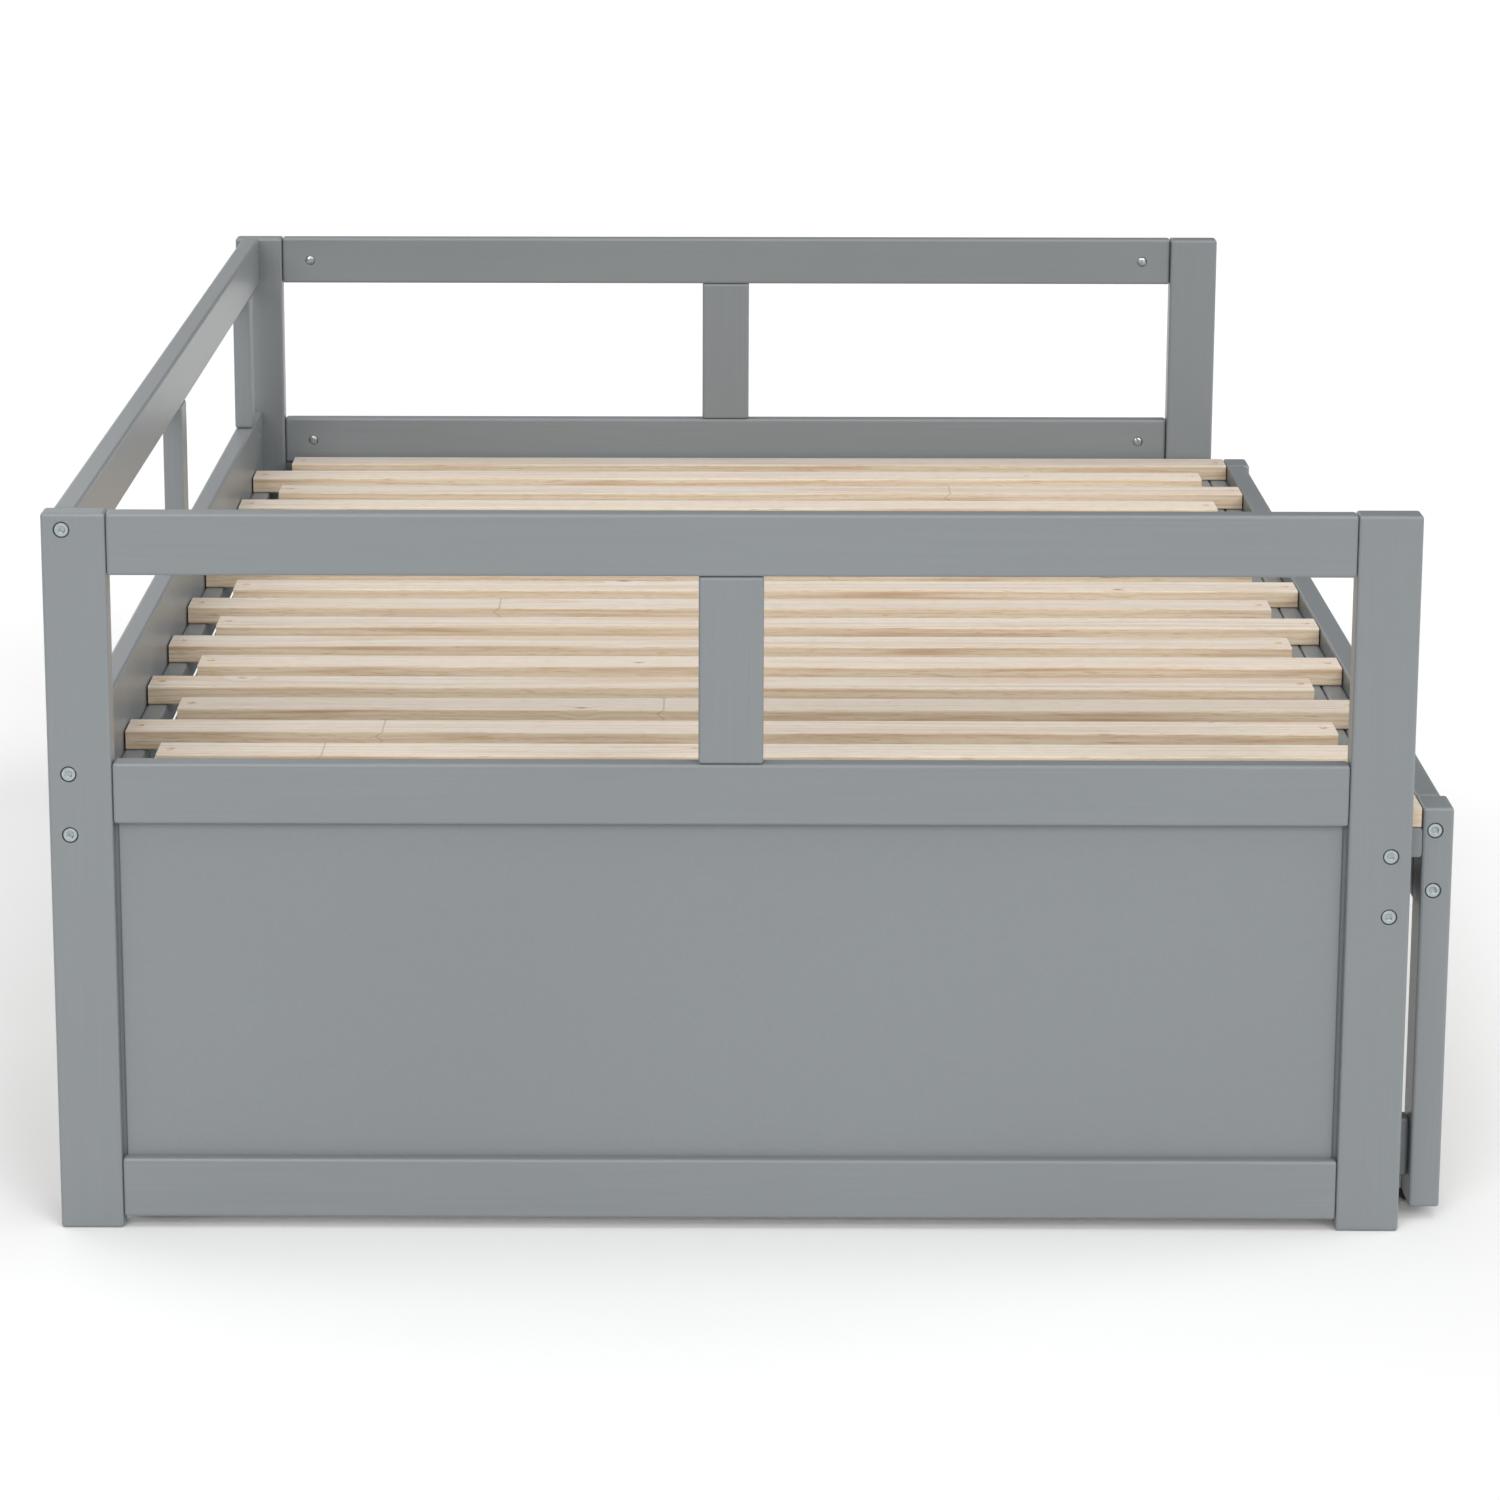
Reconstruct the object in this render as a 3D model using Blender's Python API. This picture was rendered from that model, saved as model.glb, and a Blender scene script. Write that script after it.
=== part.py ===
"""A daybed whose slatted deck doubles in width.

A fixed bed frame carries every second slat. A trundle frame on four casters carries the slats between them,
so its deck slides out of the front of the bed at the same height. Lengths are in metres, +X is the pull-out
side, Y runs along the bed and +Z is up. The origin is on the floor, under the middle of the closed bed.
"""

import math

import bmesh
import bpy
from mathutils import Matrix, Vector

# Overall sizes of the bed
end_width = 1.390  # an end panel, across the bed
bed_height = 0.758
inner_length = 1.956  # between the end panels, for a 75 inch mattress with some play

# Fits between pieces
seat_gap = 0.0003  # between faces that touch
groove_play = 0.0005  # at the bottom of a groove
trundle_end_play = 0.006  # from the trundle to each end panel
closed_gap = 0.001  # between the closed trundle's cleat and the bed's front rail

# Board stock
board_ease = 0.003  # radius on the edges
ease_steps = 2
rail_tall = 0.064  # narrow rails
wide_rail_tall = 0.112  # back deck rail and the trundle's front rail
rail_thick = 0.024
post_wide = 0.065
post_deep = 0.032

# End panels
rail_inset = 0.001  # from the posts' outer faces to the rails' outer faces
mid_rail_bottom = 0.435
bottom_rail_bottom = 0.012
end_stile_wide = 0.066
panel_thick = 0.008
panel_recess = 0.012  # behind the rails' outer faces
panel_tongue_thick = 0.005
panel_reveal = 0.0045  # rebated strip that shows beside each post
groove_deep = 0.006

# Back side
back_rail_inset = 0.009  # behind the posts' outer faces
back_rail_rise = 0.066  # of the back deck rail's top above the slats
back_stile_wide = 0.050
back_stile_from_end = 0.120  # from an end panel to the nearest stile's middle

# Slatted deck
deck_seat = 0.424  # height of the cleats' tops, which carry the slats
slat_back_play = 0.002  # from a fixed slat's back end to the back rail
slat_front_lap = 0.0025  # of a fixed slat's front end over the front rail
slat_wide = 0.056
slat_thick = 0.021
slat_ease = 0.002
fixed_slats = 9
cleat_tall = 0.031
cleat_thick = 0.024
front_rail_tall = 0.105
stop_block_length = 0.060
stop_block_tall = 0.028
stop_block_thick = 0.017
stop_block_chamfer = 0.006
stop_block_rise = 0.007  # above the front rail's bottom
stop_block_from_end = 0.090
stop_block_sunk = 0.002  # overlap that joins a block to the rail

# Trundle
trundle_rail_thick = 0.026
trundle_post_deep = 0.053
trundle_post_thick = 0.032
trundle_post_bottom = 0.013
trundle_slat_inset = 0.0015  # from the slats' front ends to the front rail
trundle_rail_overhang = 0.0085  # of the back rail past the slats' back ends
stretcher_bottom = 0.042

# Casters
wheel_diameter = 0.040
wheel_width = 0.018
wheel_edge_round = 0.002
wheel_bore_diameter = 0.0086
wheel_hub_diameter = 0.015
wheel_rim_thick = 0.0045
wheel_dish = 0.004
wheel_side_play = 0.0006
axle_diameter = 0.008
axle_head_diameter = 0.013
axle_head_thick = 0.002
axle_head_chamfer = 0.0006
bracket_wide = 0.030
bracket_tall = 0.058
bracket_thick = 0.0025
bracket_below_axle = 0.010
bracket_corner = 0.006

# Holes for the connector bolts, cross-dowel nuts and screws
bolt_pitch = 0.064  # between the two bolts at the end of a tall rail
top_bolt_drop = 0.017  # from the back top rail's top to the single bolt at its end
counterbore_diameter = 0.017
counterbore_deep = 0.0035
bolt_hole_diameter = 0.007
dowel_hole_diameter = 0.014
dowel_hole_deep = 0.019
dowel_from_end = 0.040
slat_screw_from_end = 0.013
slat_screw_pit_diameter = 0.009
slat_screw_pit_deep = 0.0045

# Cutting and turning
cut_overrun = 0.002
bolt_hole_sides = 16
dowel_hole_sides = 12
pit_sides = 8
wheel_sides = 24
smooth_angle = math.radians(30)
merge_distance = 0.00001

# Finishes: sRGB colour, roughness and metallic value
paint_finish = ("#8F9496", 0.45, 0.0)
wood_finish = ("#DFD3BF", 0.60, 0.0)
wheel_finish = ("#1C1C1E", 0.50, 0.0)
steel_finish = ("#B9BFC6", 0.30, 1.0)

# End panels, from the sizes above
half_width = end_width / 2
half_inner = inner_length / 2
end_outer = half_inner + post_deep
end_rail_middle = end_outer - rail_inset - rail_thick / 2
post_inner = half_width - post_wide
top_rail_bottom = bed_height - rail_tall
mid_rail_top = mid_rail_bottom + rail_tall
bottom_rail_top = bottom_rail_bottom + rail_tall
panel_outer = end_outer - rail_inset - panel_recess
panel_inner = panel_outer - panel_thick
tongue_outer = panel_inner + panel_tongue_thick
panel_low = bottom_rail_top - groove_deep + groove_play
panel_high = mid_rail_bottom + groove_deep - groove_play

# Long rails and deck, from the sizes above
long_rail_middle = half_width - back_rail_inset - rail_thick / 2
long_rail_outer = long_rail_middle + rail_thick / 2
long_rail_inner = long_rail_middle - rail_thick / 2
long_rail_half = half_inner - seat_gap
deck_top = deck_seat + seat_gap + slat_thick
back_rail_top = deck_top + back_rail_rise
back_rail_bottom = back_rail_top - wide_rail_tall
front_rail_bottom = deck_seat - front_rail_tall
cleat_bottom = deck_seat - cleat_tall
fixed_slat_back = slat_back_play - long_rail_inner
slat_length = long_rail_inner + slat_front_lap - fixed_slat_back

# Trundle, from the sizes above
trundle_half = half_inner - trundle_end_play
trundle_post_face = trundle_half - trundle_post_deep
trundle_post_middle = trundle_half - trundle_post_deep / 2
trundle_rail_half = trundle_post_face - seat_gap
trundle_rail_inner = long_rail_outer + closed_gap + cleat_thick
trundle_front = trundle_rail_inner + trundle_post_thick
trundle_rail_bottom = deck_top - wide_rail_tall
sliding_slat_back = trundle_rail_inner - trundle_slat_inset - slat_length
back_rail_rear = sliding_slat_back - trundle_rail_overhang
back_rail_front = back_rail_rear + rail_thick
rear_leg_back = back_rail_front - trundle_post_thick
slat_pitch = (trundle_half * 2 - slat_wide) / fixed_slats
bed_middle = (trundle_front - half_width) / 2


def linear(channel):
    """One sRGB channel from 0 to 1 as linear light."""
    low, slope, offset, power = 0.04045, 12.92, 0.055, 2.4
    return channel / slope if channel <= low else ((channel + offset) / (1 + offset)) ** power


def finish_material(name, finish):
    """A plain material from a finish: sRGB colour, roughness and metallic value."""
    hex_colour, roughness, metallic = finish
    full = 255
    channels = [linear(int(hex_colour[start : start + 2], 16) / full) for start in (1, 3, 5)]
    material = bpy.data.materials.new(name)
    material.use_nodes = True
    shader = material.node_tree.nodes["Principled BSDF"]
    shader.inputs["Base Color"].default_value = (*channels, 1)
    shader.inputs["Roughness"].default_value = roughness
    shader.inputs["Metallic"].default_value = metallic
    material.diffuse_color = (*channels, 1)
    return material


def empty(name, place, parent=None):
    """A named frame that pieces are parented to."""
    marker = bpy.data.objects.new(name, None)
    marker.location = place
    marker.parent = parent
    bpy.context.scene.collection.objects.link(marker)
    return marker


def mesh_object(name, shape, place, parent, material):
    """Turns a bmesh into a named object at a place in its parent's frame."""
    mesh = bpy.data.meshes.new(name)
    shape.to_mesh(mesh)
    shape.free()
    made = bpy.data.objects.new(name, mesh)
    made.location = place
    made.parent = parent
    if material:
        mesh.materials.append(material)
    bpy.context.scene.collection.objects.link(made)
    return made


def cuboid(size, centre=(0, 0, 0)):
    """A closed box of this size about this centre."""
    shape = bmesh.new()
    place = Matrix.Translation(centre) @ Matrix.Diagonal((*size, 1))
    bmesh.ops.create_cube(shape, size=1, matrix=place)
    return shape


def turned(outline, sides):
    """A closed body turned about Z from an outline of (radius, height) points.

    An outline that starts and ends on the axis makes a solid. One that ends where it starts makes a ring.
    """
    shape = bmesh.new()
    points = [shape.verts.new((radius, 0, height)) for radius, height in outline]
    edges = [shape.edges.new(pair) for pair in zip(points, points[1:])]
    bmesh.ops.spin(shape, geom=points + edges, axis=(0, 0, 1), angle=math.tau, steps=sides)
    bmesh.ops.remove_doubles(shape, verts=shape.verts, dist=merge_distance)
    bmesh.ops.recalc_face_normals(shape, faces=shape.faces)
    return shape


def aimed(shape, direction, place):
    """Turns a body's Z axis to this direction and moves it to this place."""
    turn = Vector((0, 0, 1)).rotation_difference(Vector(direction)).to_matrix().to_4x4()
    shape.transform(Matrix.Translation(place) @ turn)
    return shape


def bolt_hole(place, inward, wood):
    """A counterbore and a bolt hole, from the outer face at place through this thickness of wood."""
    head, bolt = counterbore_diameter / 2, bolt_hole_diameter / 2
    start, end = -cut_overrun, wood + cut_overrun
    outline = [(0, start), (head, start), (head, counterbore_deep), (bolt, counterbore_deep)]
    outline += [(bolt, end), (0, end)]
    return aimed(turned(outline, bolt_hole_sides), inward, place)


def dowel_hole(place, inward):
    """A cross-dowel nut's blind hole, from the face at place."""
    radius, start = dowel_hole_diameter / 2, -cut_overrun
    outline = [(0, start), (radius, start), (radius, dowel_hole_deep), (0, dowel_hole_deep)]
    return aimed(turned(outline, dowel_hole_sides), inward, place)


def screw_pit(place):
    """The cone that a slat's screw head sits in, from the slat's top face at place."""
    radius = slat_screw_pit_diameter / 2
    outline = [(0, -cut_overrun), (radius, -cut_overrun), (radius, 0), (0, slat_screw_pit_deep)]
    return aimed(turned(outline, pit_sides), (0, 0, -1), place)


def use_tool(made, name, shapes, operation):
    """Cuts or joins separate closed bodies, given in the frame of the object's parent, with one Boolean."""
    joined = bmesh.new()
    for shape in shapes:
        piece = bpy.data.meshes.new(name)
        shape.to_mesh(piece)
        shape.free()
        joined.from_mesh(piece)
        bpy.data.meshes.remove(piece)
    tool = mesh_object(f"{made.name}_{name}", joined, (0, 0, 0), made.parent, None)
    tool.hide_render = True
    tool.display_type = "WIRE"
    boolean = made.modifiers.new(name, "BOOLEAN")
    boolean.operation = operation
    boolean.solver = "EXACT"
    boolean.object = tool


def eased_cuboid(size, square_ends):
    """A box whose edges are marked for easing: all of them, or only those along the grain."""
    shape = cuboid(size)
    weights = shape.edges.layers.float.new("bevel_weight_edge")
    grain = size.index(max(size))
    for edge in shape.edges:
        along_grain = edge.verts[0].co[grain] != edge.verts[1].co[grain]
        edge[weights] = along_grain or not square_ends
    return shape


def board(name, low, high, parent, material, cuts=(), ease=board_ease, square_ends=False):
    """A board between two corners, given in its parent's frame, with eased edges and any holes cut in it."""
    size = [end - start for start, end in zip(low, high)]
    centre = [(start + end) / 2 for start, end in zip(low, high)]
    made = mesh_object(name, eased_cuboid(size, square_ends), centre, parent, material)
    bevel = made.modifiers.new("eased_edges", "BEVEL")
    bevel.width = ease
    bevel.segments = ease_steps
    bevel.limit_method = "WEIGHT"
    if cuts:
        use_tool(made, "cuts", cuts, "DIFFERENCE")
    return made


def span(side, start, end):
    """Lowest and highest value of a stretch that is mirrored to this side."""
    return sorted((side * start, side * end))


def bolt_pair(bottom, top):
    """Heights of the two bolts at the end of a tall rail."""
    middle = (bottom + top) / 2
    return (middle + bolt_pitch / 2, middle - bolt_pitch / 2)


def rail_middle_heights():
    """Heights of the middles of an end panel's three rails."""
    return [bottom + rail_tall / 2 for bottom in (top_rail_bottom, mid_rail_bottom, bottom_rail_bottom)]


def end_post(name, x_side, side, bolt_heights, parent, paint):
    """A post with bolt holes for the long rails and the end rails, and the panel's groove."""
    outer_y, rail_y = side * end_outer, side * end_rail_middle
    outer_x = x_side * half_width
    rail_x = x_side * long_rail_middle
    cuts = [bolt_hole((rail_x, outer_y, z), (0, -side, 0), post_deep) for z in bolt_heights]
    cuts += [bolt_hole((outer_x, rail_y, z), (-x_side, 0, 0), post_wide) for z in rail_middle_heights()]
    groove_deepest = post_inner + groove_deep
    groove_x = span(x_side, post_inner - cut_overrun, groove_deepest)
    groove_y = span(side, panel_inner - seat_gap, tongue_outer + seat_gap)
    groove_z = (panel_low - groove_play, panel_high + groove_play)
    cuts.append(cuboid_between(groove_x, groove_y, groove_z))
    post_x, post_y = span(x_side, post_inner, half_width), span(side, half_inner, end_outer)
    board(name, (post_x[0], post_y[0], 0), (post_x[1], post_y[1], bed_height), parent, paint, cuts)


def cuboid_between(x_range, y_range, z_range):
    """A closed box between these ranges."""
    ranges = (x_range, y_range, z_range)
    return cuboid([high - low for low, high in ranges], [(low + high) / 2 for low, high in ranges])


def end_rail(name, side, bottom, parent, paint, groove_z=None):
    """A rail of an end panel, with its cross-dowel nut holes on the inner face and any panel groove."""
    inner_face = end_rail_middle - rail_thick / 2
    nut_x, nut_z = post_inner - dowel_from_end, bottom + rail_tall / 2
    cuts = [dowel_hole((x_side * nut_x, side * inner_face, nut_z), (0, side, 0)) for x_side in (-1, 1)]
    if groove_z:
        groove_y = span(side, panel_inner - seat_gap, panel_outer + seat_gap)
        cuts.append(cuboid_between((-half_width, half_width), groove_y, groove_z))
    length = post_inner - seat_gap
    rail_y = span(side, inner_face, inner_face + rail_thick)
    low, high = (-length, rail_y[0], bottom), (length, rail_y[1], bottom + rail_tall)
    board(name, low, high, parent, paint, cuts)


def end_panel(side, label, parent, paint):
    """One arm of the bed. side is -1 for the near end and +1 for the far end."""
    back_bolts = (bed_height - top_bolt_drop, *bolt_pair(back_rail_bottom, back_rail_top))
    front_bolts = bolt_pair(front_rail_bottom, deck_seat)
    end_post(f"{label}_back_post", -1, side, back_bolts, parent, paint)
    end_post(f"{label}_front_post", 1, side, front_bolts, parent, paint)
    end_rail(f"{label}_top_rail", side, top_rail_bottom, parent, paint)
    mid_groove = (mid_rail_bottom - cut_overrun, mid_rail_bottom + groove_deep)
    end_rail(f"{label}_mid_rail", side, mid_rail_bottom, parent, paint, mid_groove)
    bottom_groove = (bottom_rail_top - groove_deep, bottom_rail_top + cut_overrun)
    end_rail(f"{label}_bottom_rail", side, bottom_rail_bottom, parent, paint, bottom_groove)
    stile_y = span(side, end_rail_middle - rail_thick / 2, end_rail_middle + rail_thick / 2)
    low = (-end_stile_wide / 2, stile_y[0], mid_rail_top + seat_gap)
    high = (end_stile_wide / 2, stile_y[1], top_rail_bottom - seat_gap)
    board(f"{label}_stile", low, high, parent, paint)
    recessed_panel(f"{label}_panel", side, parent, paint)


def recessed_panel(name, side, parent, paint):
    """The flat panel. Its upright edges are rebated to tongues that enter the posts' grooves."""
    field = post_inner - panel_reveal
    reach = post_inner + groove_deep - groove_play
    right_half = [(field, panel_outer), (field, tongue_outer), (reach, tongue_outer), (reach, panel_inner)]
    left_half = [(-x, y) for x, y in reversed(right_half)]
    shape = bmesh.new()
    face = shape.faces.new([shape.verts.new((x, side * y, panel_low)) for x, y in right_half + left_half])
    raised = bmesh.ops.extrude_face_region(shape, geom=[face])["geom"]
    corners = [item for item in raised if isinstance(item, bmesh.types.BMVert)]
    bmesh.ops.translate(shape, verts=corners, vec=(0, 0, panel_high - panel_low))
    bmesh.ops.recalc_face_normals(shape, faces=shape.faces)
    mesh_object(name, shape, (0, 0, 0), parent, paint)


def nut_holes(face_x, inward, end_y, heights):
    """Cross-dowel nut holes near both ends of a long rail, on its face at face_x."""
    nut_y = end_y - dowel_from_end
    return [dowel_hole((face_x, side * nut_y, z), (inward, 0, 0)) for side in (-1, 1) for z in heights]


def back_side(parent, paint):
    """The backrest: two long rails, three stiles between them, and the cleat under the slats' back ends."""
    outer, inner = -long_rail_outer, -long_rail_inner
    cuts = nut_holes(inner, -1, half_inner, [bed_height - top_bolt_drop])
    low, high = (outer, -long_rail_half, top_rail_bottom), (inner, long_rail_half, bed_height)
    board("back_top_rail", low, high, parent, paint, cuts)
    cuts = nut_holes(inner, -1, half_inner, bolt_pair(back_rail_bottom, back_rail_top))
    low, high = (outer, -long_rail_half, back_rail_bottom), (inner, long_rail_half, back_rail_top)
    board("back_deck_rail", low, high, parent, paint, cuts)
    for label, place in (("left", -1), ("middle", 0), ("right", 1)):
        middle = place * (half_inner - back_stile_from_end)
        low = (outer, middle - back_stile_wide / 2, back_rail_top + seat_gap)
        high = (inner, middle + back_stile_wide / 2, top_rail_bottom - seat_gap)
        board(f"back_{label}_stile", low, high, parent, paint)
    cleat("back_cleat", inner + seat_gap, inner + cleat_thick, long_rail_half, parent, paint)


def cleat(name, start_x, end_x, half_length, parent, paint):
    """A square-ended strip, screwed to a long rail, that the slats' ends lie on."""
    low, high = (start_x, -half_length, cleat_bottom), (end_x, half_length, deck_seat)
    board(name, low, high, parent, paint, square_ends=True)


def front_side(parent, paint):
    """The bed's own front rail, with two stop blocks on its outer face, and its cleat."""
    cuts = nut_holes(long_rail_inner, 1, half_inner, bolt_pair(front_rail_bottom, deck_seat))
    low = (long_rail_inner, -long_rail_half, front_rail_bottom)
    rail = board("front_rail", low, (long_rail_outer, long_rail_half, deck_seat), parent, paint, cuts)
    use_tool(rail, "stop_blocks", [stop_block(side) for side in (-1, 1)], "UNION")
    cleat_back = long_rail_inner - cleat_thick
    cleat("front_cleat", cleat_back, long_rail_inner - seat_gap, long_rail_half, parent, paint)


def stop_block(side):
    """A small block on the front rail's outer face, chamfered round its outer face."""
    bottom = front_rail_bottom + stop_block_rise
    middle_y = side * (half_inner - stop_block_from_end)
    outer = long_rail_outer + stop_block_thick
    y_range = (middle_y - stop_block_length / 2, middle_y + stop_block_length / 2)
    z_range = (bottom, bottom + stop_block_tall)
    shape = cuboid_between((long_rail_outer - stop_block_sunk, outer), y_range, z_range)
    rim = [edge for edge in shape.edges if all(outer - vert.co.x < merge_distance for vert in edge.verts)]
    bmesh.ops.bevel(shape, geom=rim, offset=stop_block_chamfer, segments=1, affect="EDGES")
    return shape


def slat(name, start_x, middle_y, parent, wood):
    """A slat that runs across the bed from start_x, with a screw pit near each end."""
    end_x = start_x + slat_length
    screws = (start_x + slat_screw_from_end, end_x - slat_screw_from_end)
    pits = [screw_pit((x, middle_y, deck_top)) for x in screws]
    low = (start_x, middle_y - slat_wide / 2, deck_seat + seat_gap)
    high = (end_x, middle_y + slat_wide / 2, deck_top)
    board(name, low, high, parent, wood, pits, slat_ease, square_ends=True)


def slats(bed, trundle, wood):
    """Fixed slats, each midway between two of the slats that slide."""
    first_y = slat_wide / 2 - trundle_half
    for index in range(fixed_slats):
        middle_y = first_y + slat_pitch * (index + 1 / 2)
        slat(f"fixed_slat_{index + 1}", fixed_slat_back, middle_y, bed, wood)
    for index in range(fixed_slats + 1):
        middle_y = first_y + slat_pitch * index
        slat(f"sliding_slat_{index + 1}", sliding_slat_back, middle_y, trundle, wood)


def trundle_long_rails(parent, paint):
    """The trundle's front and back rails, between its uprights, and a cleat along each of them."""
    cuts = nut_holes(trundle_rail_inner, 1, trundle_post_face, bolt_pair(trundle_rail_bottom, deck_top))
    low = (trundle_rail_inner, -trundle_rail_half, trundle_rail_bottom)
    high = (trundle_rail_inner + trundle_rail_thick, trundle_rail_half, deck_top)
    board("trundle_front_rail", low, high, parent, paint, cuts)
    cuts = nut_holes(back_rail_rear, 1, trundle_post_face, bolt_pair(front_rail_bottom, deck_seat))
    low = (back_rail_rear, -trundle_rail_half, front_rail_bottom)
    board("trundle_back_rail", low, (back_rail_front, trundle_rail_half, deck_seat), parent, paint, cuts)
    cleat_start, cleat_end = trundle_rail_inner - cleat_thick, trundle_rail_inner - seat_gap
    cleat("trundle_front_cleat", cleat_start, cleat_end, trundle_half, parent, paint)
    cleat_start, cleat_end = back_rail_front + seat_gap, back_rail_front + cleat_thick
    cleat("trundle_back_cleat", cleat_start, cleat_end, trundle_half, parent, paint)


def trundle_upright(name, x_side, side, x_range, top, rail_x, bolt_heights, parent, paint):
    """A front post or a rear leg, bolted to a long rail along Y and to a stretcher along X."""
    outer_y = side * trundle_half
    outer_x = x_range[1] if x_side > 0 else x_range[0]
    cuts = [bolt_hole((rail_x, outer_y, z), (0, -side, 0), trundle_post_deep) for z in bolt_heights]
    stretcher_head = (outer_x, side * trundle_post_middle, stretcher_bottom + rail_tall / 2)
    cuts.append(bolt_hole(stretcher_head, (-x_side, 0, 0), trundle_post_thick))
    y_range = span(side, trundle_post_face, trundle_half)
    low, high = (x_range[0], y_range[0], trundle_post_bottom), (x_range[1], y_range[1], top)
    board(name, low, high, parent, paint, cuts)


def trundle_end(side, label, parent, paint):
    """One end of the trundle: a front post, a rear leg and the low stretcher between them."""
    front_bolts = bolt_pair(trundle_rail_bottom, deck_top)
    back_bolts = bolt_pair(front_rail_bottom, deck_seat)
    front_x, rear_x = (trundle_rail_inner, trundle_front), (rear_leg_back, back_rail_front)
    front_rail_x = trundle_rail_inner + trundle_rail_thick / 2
    back_rail_x = back_rail_front - rail_thick / 2
    post, leg = f"trundle_{label}_front_post", f"trundle_{label}_rear_leg"
    trundle_upright(post, 1, side, front_x, deck_top, front_rail_x, front_bolts, parent, paint)
    trundle_upright(leg, -1, side, rear_x, deck_seat, back_rail_x, back_bolts, parent, paint)
    inner_face = trundle_post_middle - rail_thick / 2
    nut_z = stretcher_bottom + rail_tall / 2
    nut_xs = (back_rail_front + dowel_from_end, trundle_rail_inner - dowel_from_end)
    cuts = [dowel_hole((x, side * inner_face, nut_z), (0, side, 0)) for x in nut_xs]
    y_range = span(side, inner_face, inner_face + rail_thick)
    low = (back_rail_front + seat_gap, y_range[0], stretcher_bottom)
    high = (trundle_rail_inner - seat_gap, y_range[1], stretcher_bottom + rail_tall)
    board(f"trundle_{label}_stretcher", low, high, parent, paint, cuts)


def caster_bracket(name, axle, steel):
    """A plate for the upright's inner face, with the stub that the wheel turns on and the stub's head."""
    plate = cuboid_between(
        (-bracket_wide / 2, bracket_wide / 2),
        (-bracket_below_axle, bracket_tall - bracket_below_axle),
        (0, bracket_thick),
    )
    corners = [edge for edge in plate.edges if edge.verts[0].co.z != edge.verts[1].co.z]
    bmesh.ops.bevel(plate, geom=corners, offset=bracket_corner, segments=ease_steps, affect="EDGES")
    made = mesh_object(name, plate, (0, 0, 0), axle, steel)
    root, seat = bracket_thick / 2, bracket_thick + wheel_width + wheel_side_play * 2
    radius, head, tip = axle_diameter / 2, axle_head_diameter / 2, seat + axle_head_thick
    outline = [(0, root), (radius, root), (radius, seat), (head, seat), (head, tip - axle_head_chamfer)]
    outline += [(head - axle_head_chamfer, tip), (0, tip)]
    use_tool(made, "stub", [turned(outline, bolt_hole_sides)], "UNION")


def wheel_outline():
    """Half section of the wheel, with its bore, hub, dished web, rim and rounded tread."""
    bore, hub, tread = wheel_bore_diameter / 2, wheel_hub_diameter / 2, wheel_diameter / 2
    rim, half = tread - wheel_rim_thick, wheel_width / 2
    web = half - wheel_dish
    top = [(bore, half), (hub, half), (hub, web), (rim, web), (rim, half), (tread - wheel_edge_round, half)]
    top.append((tread, half - wheel_edge_round))
    return [*top, *[(radius, -height) for radius, height in reversed(top)], top[0]]


def caster(label, x, side, trundle, steel, nylon):
    """A fixed caster on an upright's inner face. Its empty has Z along the axle, inward, and Y up."""
    axle = empty(f"{label}_axle", (x, side * trundle_rail_half, wheel_diameter / 2), trundle)
    inward, up = Vector((0, -side, 0)), Vector((0, 0, 1))
    axle.rotation_euler = Matrix((up.cross(inward), up, inward)).transposed().to_euler()
    caster_bracket(f"{label}_caster_bracket", axle, steel)
    place = (0, 0, bracket_thick + wheel_side_play + wheel_width / 2)
    wheel = mesh_object(f"{label}_wheel", turned(wheel_outline(), wheel_sides), place, axle, nylon)
    wheel.data.shade_smooth()
    wheel.data.set_sharp_from_angle(angle=smooth_angle)


def main():
    for old in list(bpy.data.objects):
        bpy.data.objects.remove(old)
    paint = finish_material("grey_paint", paint_finish)
    wood = finish_material("pine", wood_finish)
    nylon = finish_material("black_nylon", wheel_finish)
    steel = finish_material("zinc_plated_steel", steel_finish)
    bed = empty("bed_frame", (-bed_middle, 0, 0))
    trundle = empty("trundle_frame", (0, 0, 0), bed)
    for side, label in ((-1, "left"), (1, "right")):
        end_panel(side, f"{label}_end", bed, paint)
        trundle_end(side, label, trundle, paint)
        caster(f"{label}_front", trundle_front - wheel_diameter / 2, side, trundle, steel, nylon)
        caster(f"{label}_rear", rear_leg_back + wheel_diameter / 2, side, trundle, steel, nylon)
    back_side(bed, paint)
    front_side(bed, paint)
    trundle_long_rails(trundle, paint)
    slats(bed, trundle, wood)


main()
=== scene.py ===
"""The finishes and small fasteners of a daybed with trundle, in metres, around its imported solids.

The sections follow the bed as it is put together: the painted boards, the bare slats, the caster brackets,
then the bolts, nuts and screws, and the caster wheels. The floor, the light and the camera come last.
"""

import math

import bpy
from mathutils import Matrix, Vector


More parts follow.
